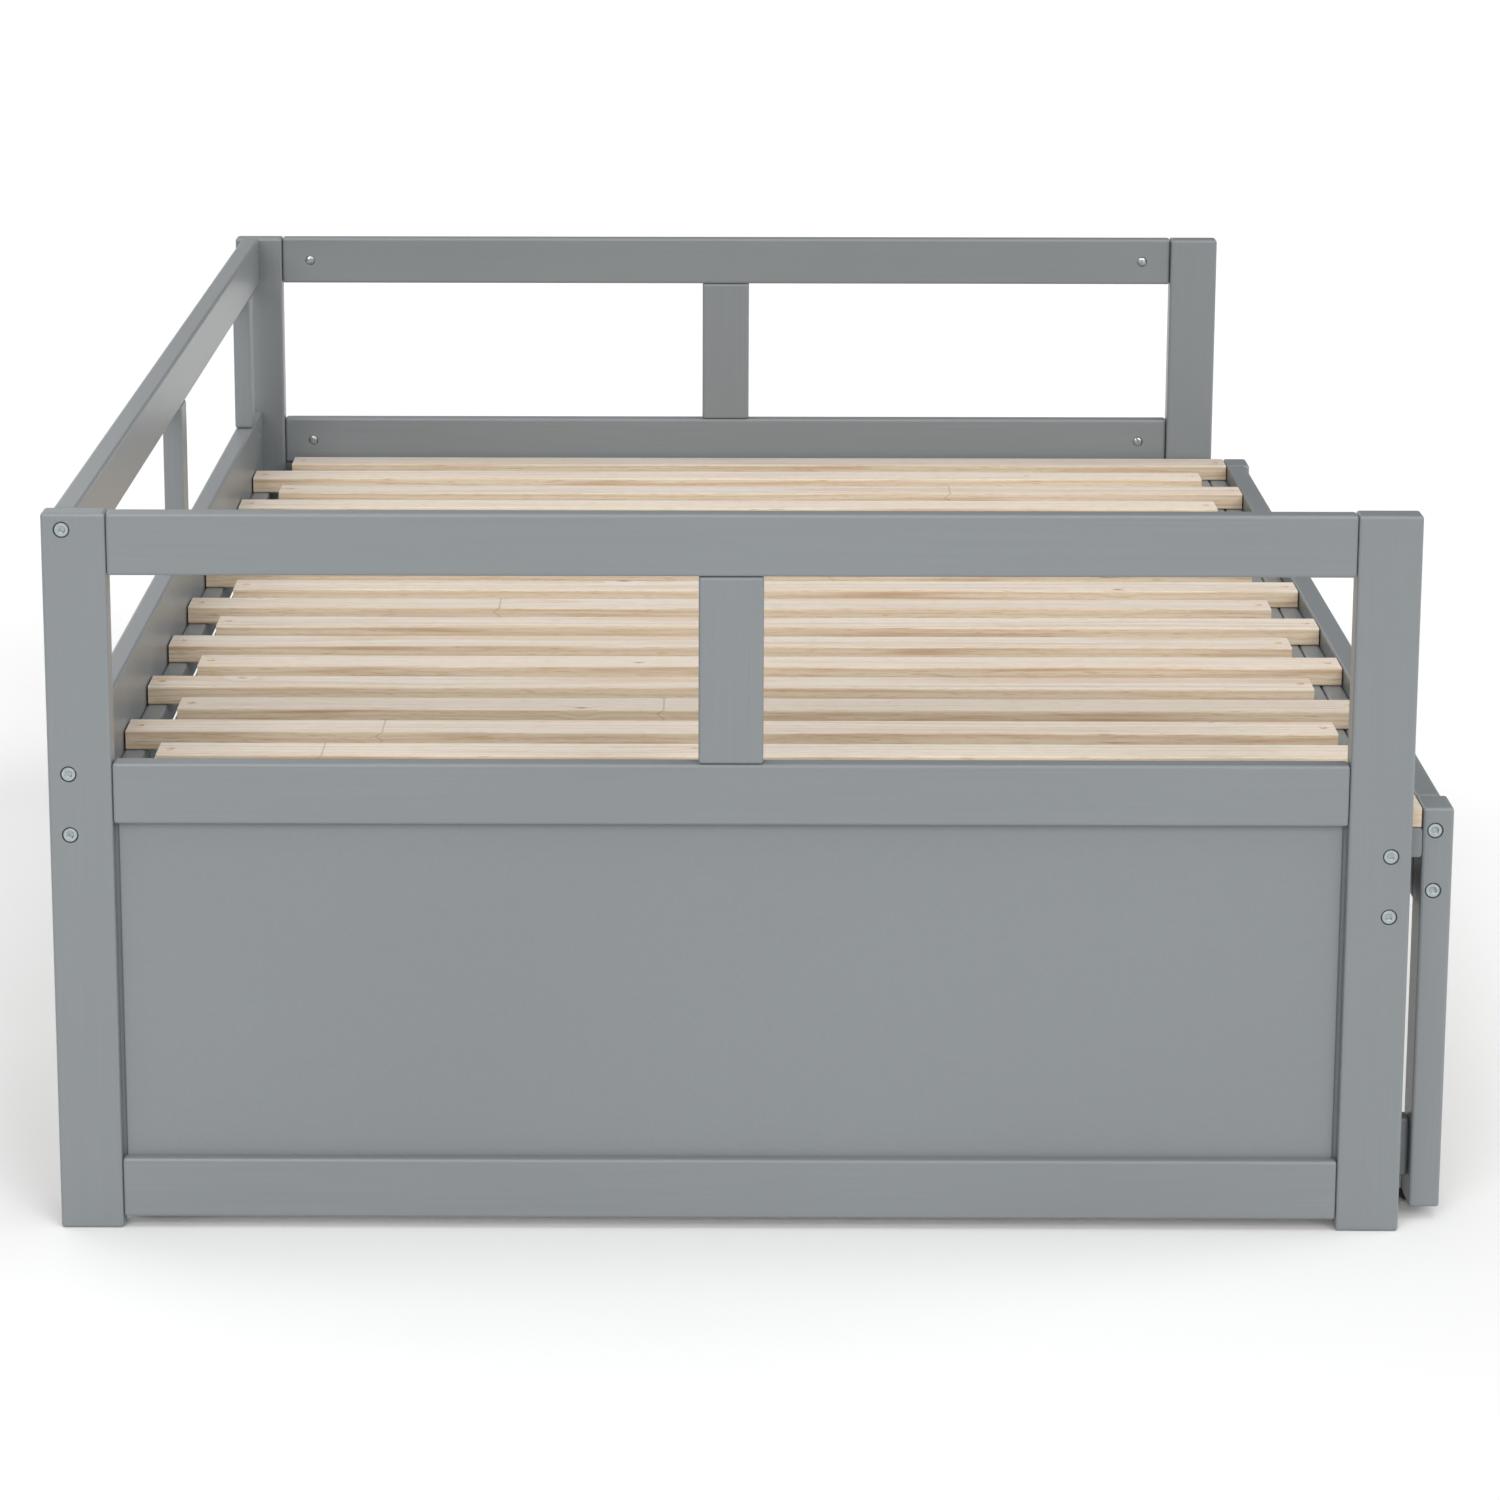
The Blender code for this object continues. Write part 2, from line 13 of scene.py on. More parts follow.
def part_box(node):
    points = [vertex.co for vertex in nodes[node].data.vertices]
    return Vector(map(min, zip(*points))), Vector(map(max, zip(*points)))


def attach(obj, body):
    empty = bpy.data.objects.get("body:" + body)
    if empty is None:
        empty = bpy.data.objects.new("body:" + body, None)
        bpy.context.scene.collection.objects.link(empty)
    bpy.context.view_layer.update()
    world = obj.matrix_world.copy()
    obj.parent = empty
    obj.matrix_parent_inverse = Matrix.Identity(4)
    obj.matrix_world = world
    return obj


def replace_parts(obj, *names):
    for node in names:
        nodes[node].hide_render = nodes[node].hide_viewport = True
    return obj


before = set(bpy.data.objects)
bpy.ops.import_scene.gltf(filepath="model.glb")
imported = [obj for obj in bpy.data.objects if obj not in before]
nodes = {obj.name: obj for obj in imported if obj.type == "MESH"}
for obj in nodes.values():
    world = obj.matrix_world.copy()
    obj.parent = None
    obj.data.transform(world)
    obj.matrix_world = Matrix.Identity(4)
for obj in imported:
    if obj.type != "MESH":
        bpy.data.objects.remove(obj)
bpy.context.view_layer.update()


# Posts, rails and stiles of the two end panels
# Planed solid pine, sprayed with grey satin lacquer, so the grain shows only as faint streaks and shallow
# ridges along each board. The rails are drawn to the posts with bolts.
x_axis, y_axis, z_axis = 0, 1, 2
sides = ((-1, "left"), (1, "right"))
paint_grey = "#707476"
paint_streak_grey = "#82878A"
# painted highlight: this lighter grey is mixed in along the boards' rounded edges, where they would catch the
# light
edge_highlight_grey = "#8A8F91"
paint_roughness = 0.34
paint_roughness_play = 0.05
paint_ior = 1.5
streak_width = 0.0022
streak_length = 0.16
streak_detail = 4
streak_roughness = 0.6
streak_share = 0.45
ridge_height = 0.00012
ridge_strength = 0.35
tone_patch = 0.55
tone_share = 0.35
rounded_edge = 0.0016
edge_samples = 4
# where and how strongly the painted edge highlight shows across the rounded edges
edge_start, edge_end = 0.985, 0.90
edge_share = 0.35

# numbers of a mix node's sockets for colours, since other sockets of it have the same names
first_colour, second_colour, mixed = 6, 7, 2


def linear_colour(hex_colour):
    """An sRGB hex colour as the linear colour that a shader takes."""
    low, slope, offset, power = 0.04045, 12.92, 0.055, 2.4
    shares = [level / 255 for level in bytes.fromhex(hex_colour[1:])]
    lit = [share / slope if share <= low else ((share + offset) / (1 + offset)) ** power for share in shares]
    return (*lit, 1)


def add_node(tree, kind, inputs=(), **settings):
    """Adds a node with its settings. Each input is a value, or the output of another node."""
    made = tree.nodes.new(kind)
    for name, value in settings.items():
        setattr(made, name, value)
    for socket, value in dict(inputs).items():
        if isinstance(value, bpy.types.NodeSocket):
            tree.links.new(value, made.inputs[socket])
        else:
            made.inputs[socket].default_value = value
    return made


def new_finish(name, roughness, metallic=0.0, ior=None):
    """A new material with its node tree and its shader."""
    finish = bpy.data.materials.new(name)
    finish.use_nodes = True
    shader = finish.node_tree.nodes["Principled BSDF"]
    shader.inputs["Roughness"].default_value = roughness
    shader.inputs["Metallic"].default_value = metallic
    if ior:
        shader.inputs["IOR"].default_value = ior
    return finish, finish.node_tree, shader


def along_grain(tree, place, grain, length, width):
    """Coordinates squeezed so that one unit is this length along the grain and this width across it."""
    scale = [1 / width] * 3
    scale[grain] = 1 / length
    return add_node(tree, "ShaderNodeMapping", {"Vector": place, "Scale": scale}).outputs["Vector"]


def edge_highlight(tree):
    """How much painted highlight lies on a board's rounded edges, from 0 to edge_share, and the rounded
    normal.
    """
    rounded = add_node(tree, "ShaderNodeBevel", {"Radius": rounded_edge}, samples=edge_samples).outputs[0]
    flat = add_node(tree, "ShaderNodeNewGeometry").outputs["Normal"]
    facing = add_node(tree, "ShaderNodeVectorMath", {0: rounded, 1: flat}, operation="DOT_PRODUCT")
    span = {
        "Value": facing.outputs["Value"],
        "From Min": edge_start,
        "From Max": edge_end,
        "To Max": edge_share,
    }
    return add_node(tree, "ShaderNodeMapRange", span).outputs[0], rounded


def painted_finish(name, streaks, ridge, strength):
    """Satin lacquer over streaks of the wood beneath, with a lighter grey painted along the rounded edges as
    a highlight.
    """
    finish, tree, shader = new_finish(name, paint_roughness, ior=paint_ior)
    place = add_node(tree, "ShaderNodeTexCoord").outputs["Object"]
    grain = {
        "Vector": streaks(tree, place),
        "Scale": 1,
        "Detail": streak_detail,
        "Roughness": streak_roughness,
    }
    streak = add_node(tree, "ShaderNodeTexNoise", grain).outputs["Fac"]
    patch = add_node(tree, "ShaderNodeTexNoise", {"Vector": place, "Scale": 1 / tone_patch}).outputs["Fac"]
    share = add_node(tree, "ShaderNodeMath", {0: streak, 1: streak_share}, operation="MULTIPLY").outputs[0]
    share = {0: patch, 1: tone_share, 2: share}
    share = add_node(tree, "ShaderNodeMath", share, operation="MULTIPLY_ADD").outputs[0]
    edge, rounded = edge_highlight(tree)
    colour = linear_colour(paint_grey)
    # the wood's streaks first, then the painted highlight along the rounded edges
    for shown, tint in ((share, paint_streak_grey), (edge, edge_highlight_grey)):
        mix = {"Factor": shown, first_colour: colour, second_colour: linear_colour(tint)}
        colour = add_node(tree, "ShaderNodeMix", mix, data_type="RGBA").outputs[mixed]
    tree.links.new(colour, shader.inputs["Base Color"])
    rough_low, rough_high = paint_roughness - paint_roughness_play, paint_roughness + paint_roughness_play
    rough = {"Value": streak, "To Min": rough_low, "To Max": rough_high}
    rough = add_node(tree, "ShaderNodeMapRange", rough).outputs[0]
    tree.links.new(rough, shader.inputs["Roughness"])
    ridges = {"Strength": strength, "Distance": ridge, "Height": streak, "Normal": rounded}
    tree.links.new(add_node(tree, "ShaderNodeBump", ridges).outputs["Normal"], shader.inputs["Normal"])
    return finish


def painted_pine(name, grain):
    """Lacquered pine whose grain runs along this axis."""
    return painted_finish(
        name,
        lambda tree, place: along_grain(tree, place, grain, streak_length, streak_width),
        ridge_height,
        ridge_strength,
    )


def dress(finish, *names):
    """Gives CAD pieces this finish."""
    for name in names:
        mesh = nodes[name].data
        mesh.materials.clear()
        mesh.materials.append(finish)


pine_paint = [painted_pine(f"lacquered_pine_grain_{label}", axis) for axis, label in enumerate("xyz")]
for side, label in sides:
    dress(pine_paint[z_axis], f"{label}_end_back_post", f"{label}_end_front_post", f"{label}_end_stile")
    dress(pine_paint[x_axis], *[f"{label}_end_{rail}_rail" for rail in ("top", "mid", "bottom")])


# Recessed panels of the two ends
# Thin fibreboard with no grain, held in grooves. The same lacquer was rolled on, which leaves a fine even
# pebble that only softens the light on it.
pebble = 0.0030
pebble_height = 0.00008
pebble_strength = 0.2

board_paint = painted_finish(
    "lacquered_fibreboard",
    lambda tree, place: along_grain(tree, place, x_axis, pebble, pebble),
    pebble_height,
    pebble_strength,
)
dress(board_paint, "left_end_panel", "right_end_panel")


# Back side
# Two long pine rails with three stiles between them, and the cleat that carries the slats' back ends. The
# cleat is lacquered as it left the saw, so marks run slantwise over its ends and along its sides.
saw_slant = math.radians(42)
saw_mark_long = 0.030
saw_mark_wide = 0.0013
saw_mark_height = 0.00030
saw_mark_strength = 0.8


def saw_marks(tree, place):
    """Coordinates squeezed into marks that run slantwise over a cleat's ends and along its sides."""
    turned = add_node(tree, "ShaderNodeMapping", {"Vector": place, "Rotation": (0, saw_slant, 0)}).outputs[0]
    scale = (1 / saw_mark_long, 1 / streak_length, 1 / saw_mark_wide)
    return add_node(tree, "ShaderNodeMapping", {"Vector": turned, "Scale": scale}).outputs[0]


sawn_paint = painted_finish("lacquered_sawn_pine", saw_marks, saw_mark_height, saw_mark_strength)
dress(sawn_paint, "back_cleat")
dress(pine_paint[y_axis], "back_top_rail", "back_deck_rail")
dress(pine_paint[z_axis], "back_left_stile", "back_middle_stile", "back_right_stile")


# Front side
# The bed's own low front rail with its stop blocks, planed like the long rails of the back, and the sawn
# cleat screwed behind it.
dress(pine_paint[y_axis], "front_rail")
dress(sawn_paint, "front_cleat")


# Trundle frame
# Lacquered pine again: two long rails with their sawn cleats, two front posts, two rear legs and two low
# stretchers that tie each front post to its rear leg.
dress(pine_paint[y_axis], "trundle_front_rail", "trundle_back_rail")
dress(sawn_paint, "trundle_front_cleat", "trundle_back_cleat")
for side, label in sides:
    dress(pine_paint[z_axis], f"trundle_{label}_front_post", f"trundle_{label}_rear_leg")
    dress(pine_paint[x_axis], f"trundle_{label}_stretcher")


# Slats
# Bare pine, planed on top and left fine-sawn on its edges, with no lacquer. Growth rings run along each slat
# as soft straw-coloured bands, no two slats alike, with a small knot here and there and darker end grain.
pine_pale = "#D0C8BD"
pine_late = "#C9B19A"
pine_fibre = "#AE8E70"
pine_knot = "#74523A"
pine_pit = "#C8A67C"
pine_streak = "#AA8A70"
pine_crack = "#5E452F"
pine_glue = "#6F665A"
pine_sawn = "#FFF6E6"
pine_end_grain = "#D9C2A0"
pine_roughness = 0.62
pine_ior = 1.45
slat_tone_low, slat_tone_high = 0.90, 1.04
planing_height = 0.00010
planing_strength = 0.4

# growth rings, round a heart that lies below the slat
ring_width = 0.0042
ring_width_play = 0.0030
ring_share = 0.75
ring_wobble = 0.0012
wobble_length, wobble_width = 0.09, 0.010
wobble_detail = 2
heart_reach = 0.060
heart_drop = 0.035
heart_drop_play = 0.060
heart_wander = 0.016
wander_length = 0.60
wander_detail = 1
late_start_share, late_peak_share = 0.45, 0.86

# fibres, brown streaks and hair cracks
fibre_length, fibre_width = 0.022, 0.0011
fibre_start, fibre_end = 0.54, 0.72
fibre_share = 0.66
fibre_detail = 3
streak_patch_long, streak_patch_wide = 0.26, 0.009
streak_patch_start, streak_patch_end = 0.52, 0.74
streak_patch_share = 0.75
streak_patch_detail = 2
streak_on_top_share = 0.40
crack_long, crack_wide = 0.070, 0.0011
crack_start, crack_end = 0.735, 0.775
crack_share = 0.70
crack_detail = 1

# knots
knots_per_slat = 2
knots_missing_share = 0.5
knot_shift = 1 / 3
knot_radius = 0.0065
knot_stretch = 1.7
knot_reach = 0.62
knot_side_reach = 0.026
knot_bend = 0.0060
knot_bend_reach = 0.020

# screw pits and finger joints
pit_from_end = 0.013
pit_tint_radius = 0.0060
pit_tint_stretch = 1.5
joint_slats_share = 0.28
joint_shift = 0.005
joint_reach = 0.50
joint_finger = 0.008
joint_finger_wide = 0.005
joint_line = 0.0013
joint_share = 0.40


def middle_of(name):
    """The middle of a CAD piece's box."""
    low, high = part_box(name)
    return (low + high) / 2


def slat_place(tree):
    """Where a point is on its own slat, with a number that is the same all over one slat."""
    place = add_node(tree, "ShaderNodeTexCoord").outputs["Object"]
    split = add_node(tree, "ShaderNodeSeparateXYZ", {0: place}).outputs
    first = middle_of("sliding_slat_1").y
    step = middle_of("fixed_slat_1").y - first
    from_first = add_node(tree, "ShaderNodeMath", {0: split["Y"], 1: first}, operation="SUBTRACT").outputs[0]
    steps = add_node(tree, "ShaderNodeMath", {0: from_first, 1: step}, operation="DIVIDE").outputs[0]
    slat = add_node(tree, "ShaderNodeMath", {0: steps}, operation="ROUND").outputs[0]
    own = add_node(tree, "ShaderNodeMath", {0: steps, 1: slat}, operation="SUBTRACT").outputs[0]
    across = add_node(tree, "ShaderNodeMath", {0: own, 1: step}, operation="MULTIPLY").outputs[0]
    return {"place": place, "along": split["X"], "across": across, "up": split["Z"], "slat": slat}


def slat_chances(tree, at, shift):
    """Chance numbers from 0 to 1 that are the same all over one slat. Each shift gives others."""
    shifted = add_node(tree, "ShaderNodeMath", {0: at["slat"], 1: shift}, operation="ADD").outputs[0]
    chance = add_node(tree, "ShaderNodeTexWhiteNoise", {"W": shifted}, noise_dimensions="1D").outputs
    return add_node(tree, "ShaderNodeSeparateColor", {0: chance["Color"]}).outputs, chance["Value"]


def grain_noise(tree, at, size, detail):
    """Noise stretched to this length and width along the slats."""
    noise = {"Vector": along_grain(tree, at["place"], x_axis, *size), "Scale": 1, "Detail": detail}
    return add_node(tree, "ShaderNodeTexNoise", noise).outputs["Fac"]


def grain_streaks(tree, at, size, detail, start, end, share):
    """Streaks along the slats, and how strongly they show, from 0 to share."""
    streaks = grain_noise(tree, at, size, detail)
    shown = {"Value": streaks, "From Min": start, "From Max": end, "To Max": share}
    return streaks, add_node(tree, "ShaderNodeMapRange", shown).outputs[0]


def heart_distance(tree, at, chances, slat_low):
    """How far a point is from its tree's heart, which lies somewhere below the slat and wanders a little."""
    line = add_node(tree, "ShaderNodeCombineXYZ", {"X": at["along"], "Y": at["slat"]}).outputs[0]
    wander = {"Vector": line, "Scale": 1 / wander_length, "Detail": wander_detail}
    wander = add_node(tree, "ShaderNodeTexNoise", wander).outputs["Color"]
    wander = add_node(tree, "ShaderNodeSeparateColor", {0: wander}).outputs
    deepest = slat_low - heart_drop - heart_drop_play
    spans = ((at["across"], -heart_reach, heart_reach), (at["up"], deepest, slat_low - heart_drop))
    away = []
    for number, (point, start, end) in enumerate(spans):
        heart = {"Value": chances[number], "To Min": start, "To Max": end}
        heart = add_node(tree, "ShaderNodeMapRange", heart).outputs[0]
        heart = {0: wander[number], 1: heart_wander, 2: heart}
        heart = add_node(tree, "ShaderNodeMath", heart, operation="MULTIPLY_ADD").outputs[0]
        away.append(add_node(tree, "ShaderNodeMath", {0: point, 1: heart}, operation="SUBTRACT").outputs[0])
    away = add_node(tree, "ShaderNodeCombineXYZ", {"Y": away[0], "Z": away[1]}).outputs[0]
    radius = add_node(tree, "ShaderNodeVectorMath", {0: away}, operation="LENGTH").outputs["Value"]
    wobble = grain_noise(tree, at, (wobble_length, wobble_width), wobble_detail)
    wobble = {0: wobble, 1: ring_wobble, 2: radius}
    return add_node(tree, "ShaderNodeMath", wobble, operation="MULTIPLY_ADD").outputs[0]


def oval_distance(tree, at, middle_along, middle_across, stretch):
    """How far a point is from this middle on its own slat, with lengths along the slat divided by stretch."""
    along = {0: at["along"], 1: middle_along}
    along = add_node(tree, "ShaderNodeMath", along, operation="SUBTRACT").outputs[0]
    along = add_node(tree, "ShaderNodeMath", {0: along, 1: stretch}, operation="DIVIDE").outputs[0]
    across = {0: at["across"], 1: middle_across}
    across = add_node(tree, "ShaderNodeMath", across, operation="SUBTRACT").outputs[0]
    away = add_node(tree, "ShaderNodeCombineXYZ", {"X": along, "Y": across}).outputs[0]
    return add_node(tree, "ShaderNodeVectorMath", {0: away}, operation="LENGTH").outputs["Value"]


def knotty(tree, at, radius):
    """Bends the rings round a few small oval knots, and tells how much of a point is knot."""
    knotted = 0.0
    for number in range(knots_per_slat):
        chances = slat_chances(tree, at, (number + 1) * knot_shift)[0]
        middle = []
        for chance, reach in ((chances[0], knot_reach), (chances[1], knot_side_reach)):
            span = {"Value": chance, "To Min": -reach, "To Max": reach}
            middle.append(add_node(tree, "ShaderNodeMapRange", span).outputs[0])
        distance = oval_distance(tree, at, *middle, knot_stretch)
        size = {"Value": chances[2], "From Min": knots_missing_share, "To Max": knot_radius}
        size = add_node(tree, "ShaderNodeMapRange", size).outputs[0]
        bend = {"Value": distance, "From Max": knot_bend_reach, "To Min": knot_bend, "To Max": 0}
        bend = add_node(tree, "ShaderNodeMapRange", bend, interpolation_type="SMOOTHSTEP").outputs[0]
        present = {0: size, 1: knot_radius}
        present = add_node(tree, "ShaderNodeMath", present, operation="DIVIDE", use_clamp=True).outputs[0]
        radius = {0: bend, 1: present, 2: radius}
        radius = add_node(tree, "ShaderNodeMath", radius, operation="MULTIPLY_ADD").outputs[0]
        inside = {"Value": distance, "From Min": size, "From Max": 0}
        inside = add_node(tree, "ShaderNodeMapRange", inside).outputs[0]
        inside = add_node(tree, "ShaderNodeMath", {0: inside, 1: present}, operation="MULTIPLY").outputs[0]
        knotted = add_node(tree, "ShaderNodeMath", {0: inside, 1: knotted}, operation="MAXIMUM").outputs[0]
    return radius, knotted


def late_wood(tree, radius, chance):
    """How much late wood a point has: each growth ring darkens slowly, to a thin line."""
    widest = ring_width + ring_width_play
    width = {"Value": chance, "To Min": ring_width, "To Max": widest}
    width = add_node(tree, "ShaderNodeMapRange", width).outputs[0]
    ring = add_node(tree, "ShaderNodeMath", {0: radius, 1: width}, operation="DIVIDE").outputs[0]
    ring = add_node(tree, "ShaderNodeMath", {0: ring}, operation="FRACT").outputs[0]
    ramp = add_node(tree, "ShaderNodeValToRGB", {"Fac": ring})
    stops = ramp.color_ramp.elements
    stops[0].position = late_start_share
    stops[0].color = (0, 0, 0, 1)
    stops[1].position = late_peak_share
    stops[1].color = (1, 1, 1, 1)
    stops.new(1).color = (0, 0, 0, 1)
    late = {0: ramp.outputs["Color"], 1: ring_share}
    return add_node(tree, "ShaderNodeMath", late, operation="MULTIPLY").outputs[0]


def glue_line(tree, at):
    """How much glue shows. Some slats are finger-jointed: a line across the top, a zigzag on the edges."""
    chances = slat_chances(tree, at, joint_shift)[0]
    joint = {"Value": chances[0], "To Min": -joint_reach, "To Max": joint_reach}
    joint = add_node(tree, "ShaderNodeMapRange", joint).outputs[0]
    fingers = {0: at["up"], 1: joint_finger_wide}
    fingers = add_node(tree, "ShaderNodeMath", fingers, operation="PINGPONG").outputs[0]
    zigzag = {0: fingers, 1: joint_finger / joint_finger_wide, 2: joint}
    joint = add_node(tree, "ShaderNodeMath", zigzag, operation="MULTIPLY_ADD").outputs[0]
    away = add_node(tree, "ShaderNodeMath", {0: at["along"], 1: joint}, operation="SUBTRACT").outputs[0]
    away = add_node(tree, "ShaderNodeMath", {0: away}, operation="ABSOLUTE").outputs[0]
    glued = {"Value": away, "From Min": joint_line, "From Max": joint_line / 2, "To Max": joint_share}
    glued = add_node(tree, "ShaderNodeMapRange", glued).outputs[0]
    jointed = {0: chances[1], 1: joint_slats_share}
    jointed = add_node(tree, "ShaderNodeMath", jointed, operation="LESS_THAN").outputs[0]
    return add_node(tree, "ShaderNodeMath", {0: glued, 1: jointed}, operation="MULTIPLY").outputs[0]


def pit_stain(tree, at, ends, fibres):
    """How much resin shows in the splintered wood round the screw pits near these two ends of a slat."""
    near, far = [oval_distance(tree, at, end, 0, pit_tint_stretch) for end in ends]
    distance = add_node(tree, "ShaderNodeMath", {0: near, 1: far}, operation="MINIMUM").outputs[0]
    stained = {"Value": distance, "From Min": pit_tint_radius, "From Max": pit_tint_radius / 2}
    stained = add_node(tree, "ShaderNodeMapRange", stained).outputs[0]
    return add_node(tree, "ShaderNodeMath", {0: stained, 1: fibres}, operation="MULTIPLY").outputs[0]


def planed_pine(name, sample_slat):
    """Bare pine for the slats that start and end where this one does."""
    finish, tree, shader = new_finish(name, pine_roughness, ior=pine_ior)
    low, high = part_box(sample_slat)
    at = slat_place(tree)
    chances, tone_chance = slat_chances(tree, at, 0)
    radius, knotted = knotty(tree, at, heart_distance(tree, at, chances, low.z))
    late = late_wood(tree, radius, chances[2])
    facing = add_node(tree, "ShaderNodeTexCoord").outputs["Normal"]
    facing = add_node(tree, "ShaderNodeVectorMath", {0: facing}, operation="ABSOLUTE").outputs[0]
    facing = add_node(tree, "ShaderNodeSeparateXYZ", {0: facing}).outputs

    # brown streaks as long as a hand, mostly on the sawn edges
    patch_size, patch_span = (streak_patch_long, streak_patch_wide), (streak_patch_start, streak_patch_end)
    brown = grain_streaks(tree, at, patch_size, streak_patch_detail, *patch_span, streak_patch_share)[1]
    on_edge = {"Value": facing["Y"], "To Min": streak_on_top_share}
    on_edge = add_node(tree, "ShaderNodeMapRange", on_edge).outputs[0]
    brown = add_node(tree, "ShaderNodeMath", {0: brown, 1: on_edge}, operation="MULTIPLY").outputs[0]

    # fibres, drawn a little coarser than real ones so that they show, and a few dark hair cracks
    fibre_size, fibre_span = (fibre_length, fibre_width), (fibre_start, fibre_end)
    fibres, dark = grain_streaks(tree, at, fibre_size, fibre_detail, *fibre_span, fibre_share)
    crack_size, crack_span = (crack_long, crack_wide), (crack_start, crack_end)
    cracks = grain_streaks(tree, at, crack_size, crack_detail, *crack_span, crack_share)[1]

    stained = pit_stain(tree, at, (low.x + pit_from_end, high.x - pit_from_end), fibres)
    layers = [(late, pine_late), (brown, pine_streak), (dark, pine_fibre), (cracks, pine_crack)]
    layers += [(knotted, pine_knot), (glue_line(tree, at), pine_glue), (stained, pine_pit)]
    colour = linear_colour(pine_pale)
    for share, tint in layers:
        mix = {"Factor": share, first_colour: colour, second_colour: linear_colour(tint)}
        colour = add_node(tree, "ShaderNodeMix", mix, data_type="RGBA").outputs[mixed]

    # each slat has its own tone, its sawn edges are a little warmer and its end grain is darker
    for direction, tint in (("Y", pine_sawn), ("X", pine_end_grain)):
        mix = {"Factor": facing[direction], first_colour: colour, second_colour: linear_colour(tint)}
        colour = add_node(tree, "ShaderNodeMix", mix, data_type="RGBA", blend_type="MULTIPLY").outputs[mixed]
    tone = {"Value": tone_chance, "To Min": slat_tone_low, "To Max": slat_tone_high}
    tone = add_node(tree, "ShaderNodeMapRange", tone).outputs[0]
    colour = add_node(tree, "ShaderNodeVectorMath", {0: colour, "Scale": tone}, operation="SCALE").outputs[0]
    tree.links.new(colour, shader.inputs["Base Color"])
    planed = {"Strength": planing_strength, "Distance": planing_height, "Height": fibres}
    tree.links.new(add_node(tree, "ShaderNodeBump", planed).outputs["Normal"], shader.inputs["Normal"])
    return finish


for kind in ("fixed", "sliding"):
    slat_names = sorted(name for name in nodes if name.startswith(f"{kind}_slat"))
    dress(planed_pine(f"planed_pine_{kind}_slats", slat_names[0]), *slat_names)


# Caster brackets
# A pressed steel plate on each upright's inner face, with the stub that the wheel turns on. It is zinc
# plated, which gives a cloudy, half-bright metal.
zinc_bright = "#BDC5C6"
zinc_dull = "#98A1A3"
zinc_roughness_low, zinc_roughness_high = 0.26, 0.40
zinc_cloud = 0.004
zinc_cloud_detail = 3


def plated_steel(name, bright, dull):
    """Zinc-plated steel, slightly cloudy, whose gloss changes from place to place."""
    finish, tree, shader = new_finish(name, zinc_roughness_low, metallic=1.0)
    place = add_node(tree, "ShaderNodeTexCoord").outputs["Object"]
    cloud = {"Vector": place, "Scale": 1 / zinc_cloud, "Detail": zinc_cloud_detail}
    cloud = add_node(tree, "ShaderNodeTexNoise", cloud).outputs["Fac"]
    tones = {"Factor": cloud, first_colour: linear_colour(dull), second_colour: linear_colour(bright)}
    colour = add_node(tree, "ShaderNodeMix", tones, data_type="RGBA").outputs[mixed]
    tree.links.new(colour, shader.inputs["Base Color"])
    rough = {"Value": cloud, "To Min": zinc_roughness_low, "To Max": zinc_roughness_high}
    tree.links.new(add_node(tree, "ShaderNodeMapRange", rough).outputs[0], shader.inputs["Roughness"])
    return finish


zinc = plated_steel("zinc_plated_steel", zinc_bright, zinc_dull)
corners = [(side, label, row) for side, label in sides for row in ("front", "rear")]
dress(zinc, *[f"{label}_{row}_caster_bracket" for side, label, row in corners])


# Connector bolts
# Flat round heads with a hex socket in a shallow dish, pulled down in counterbores in the posts. They are
# zinc plated, so the flat rim is bright and the dish and the socket break up what it mirrors.
counterbore_deep = 0.0035
bolt_head_diameter = 0.0152
bolt_head_tall = 0.0026
bolt_edge = 0.0007
bolt_sides = 32
bolt_dish_diameter = 0.0076
bolt_dish_floor_diameter = 0.0056
bolt_dish_deep = 0.0008
bolt_socket_wide = 0.0040
bolt_socket_deep = 0.0040
bolt_shank_diameter = 0.0060
bolt_shank_long = 0.0240
bolt_pitch = 0.064
top_bolt_drop = 0.017
rail_thick = 0.024
trundle_rail_thick = 0.026
hex_sides = 6
socket_turn = math.radians(4)
bolt_smooth = math.radians(20)
bolt_seed = 7
smooth_up_to = math.radians(35)


def tree_input(tree, name, kind, value=None):
    """Adds a named input to a geometry tree."""
    socket = tree.interface.new_socket(name, in_out="INPUT", socket_type=kind)
    if value is not None:
        socket.default_value = value
    return socket


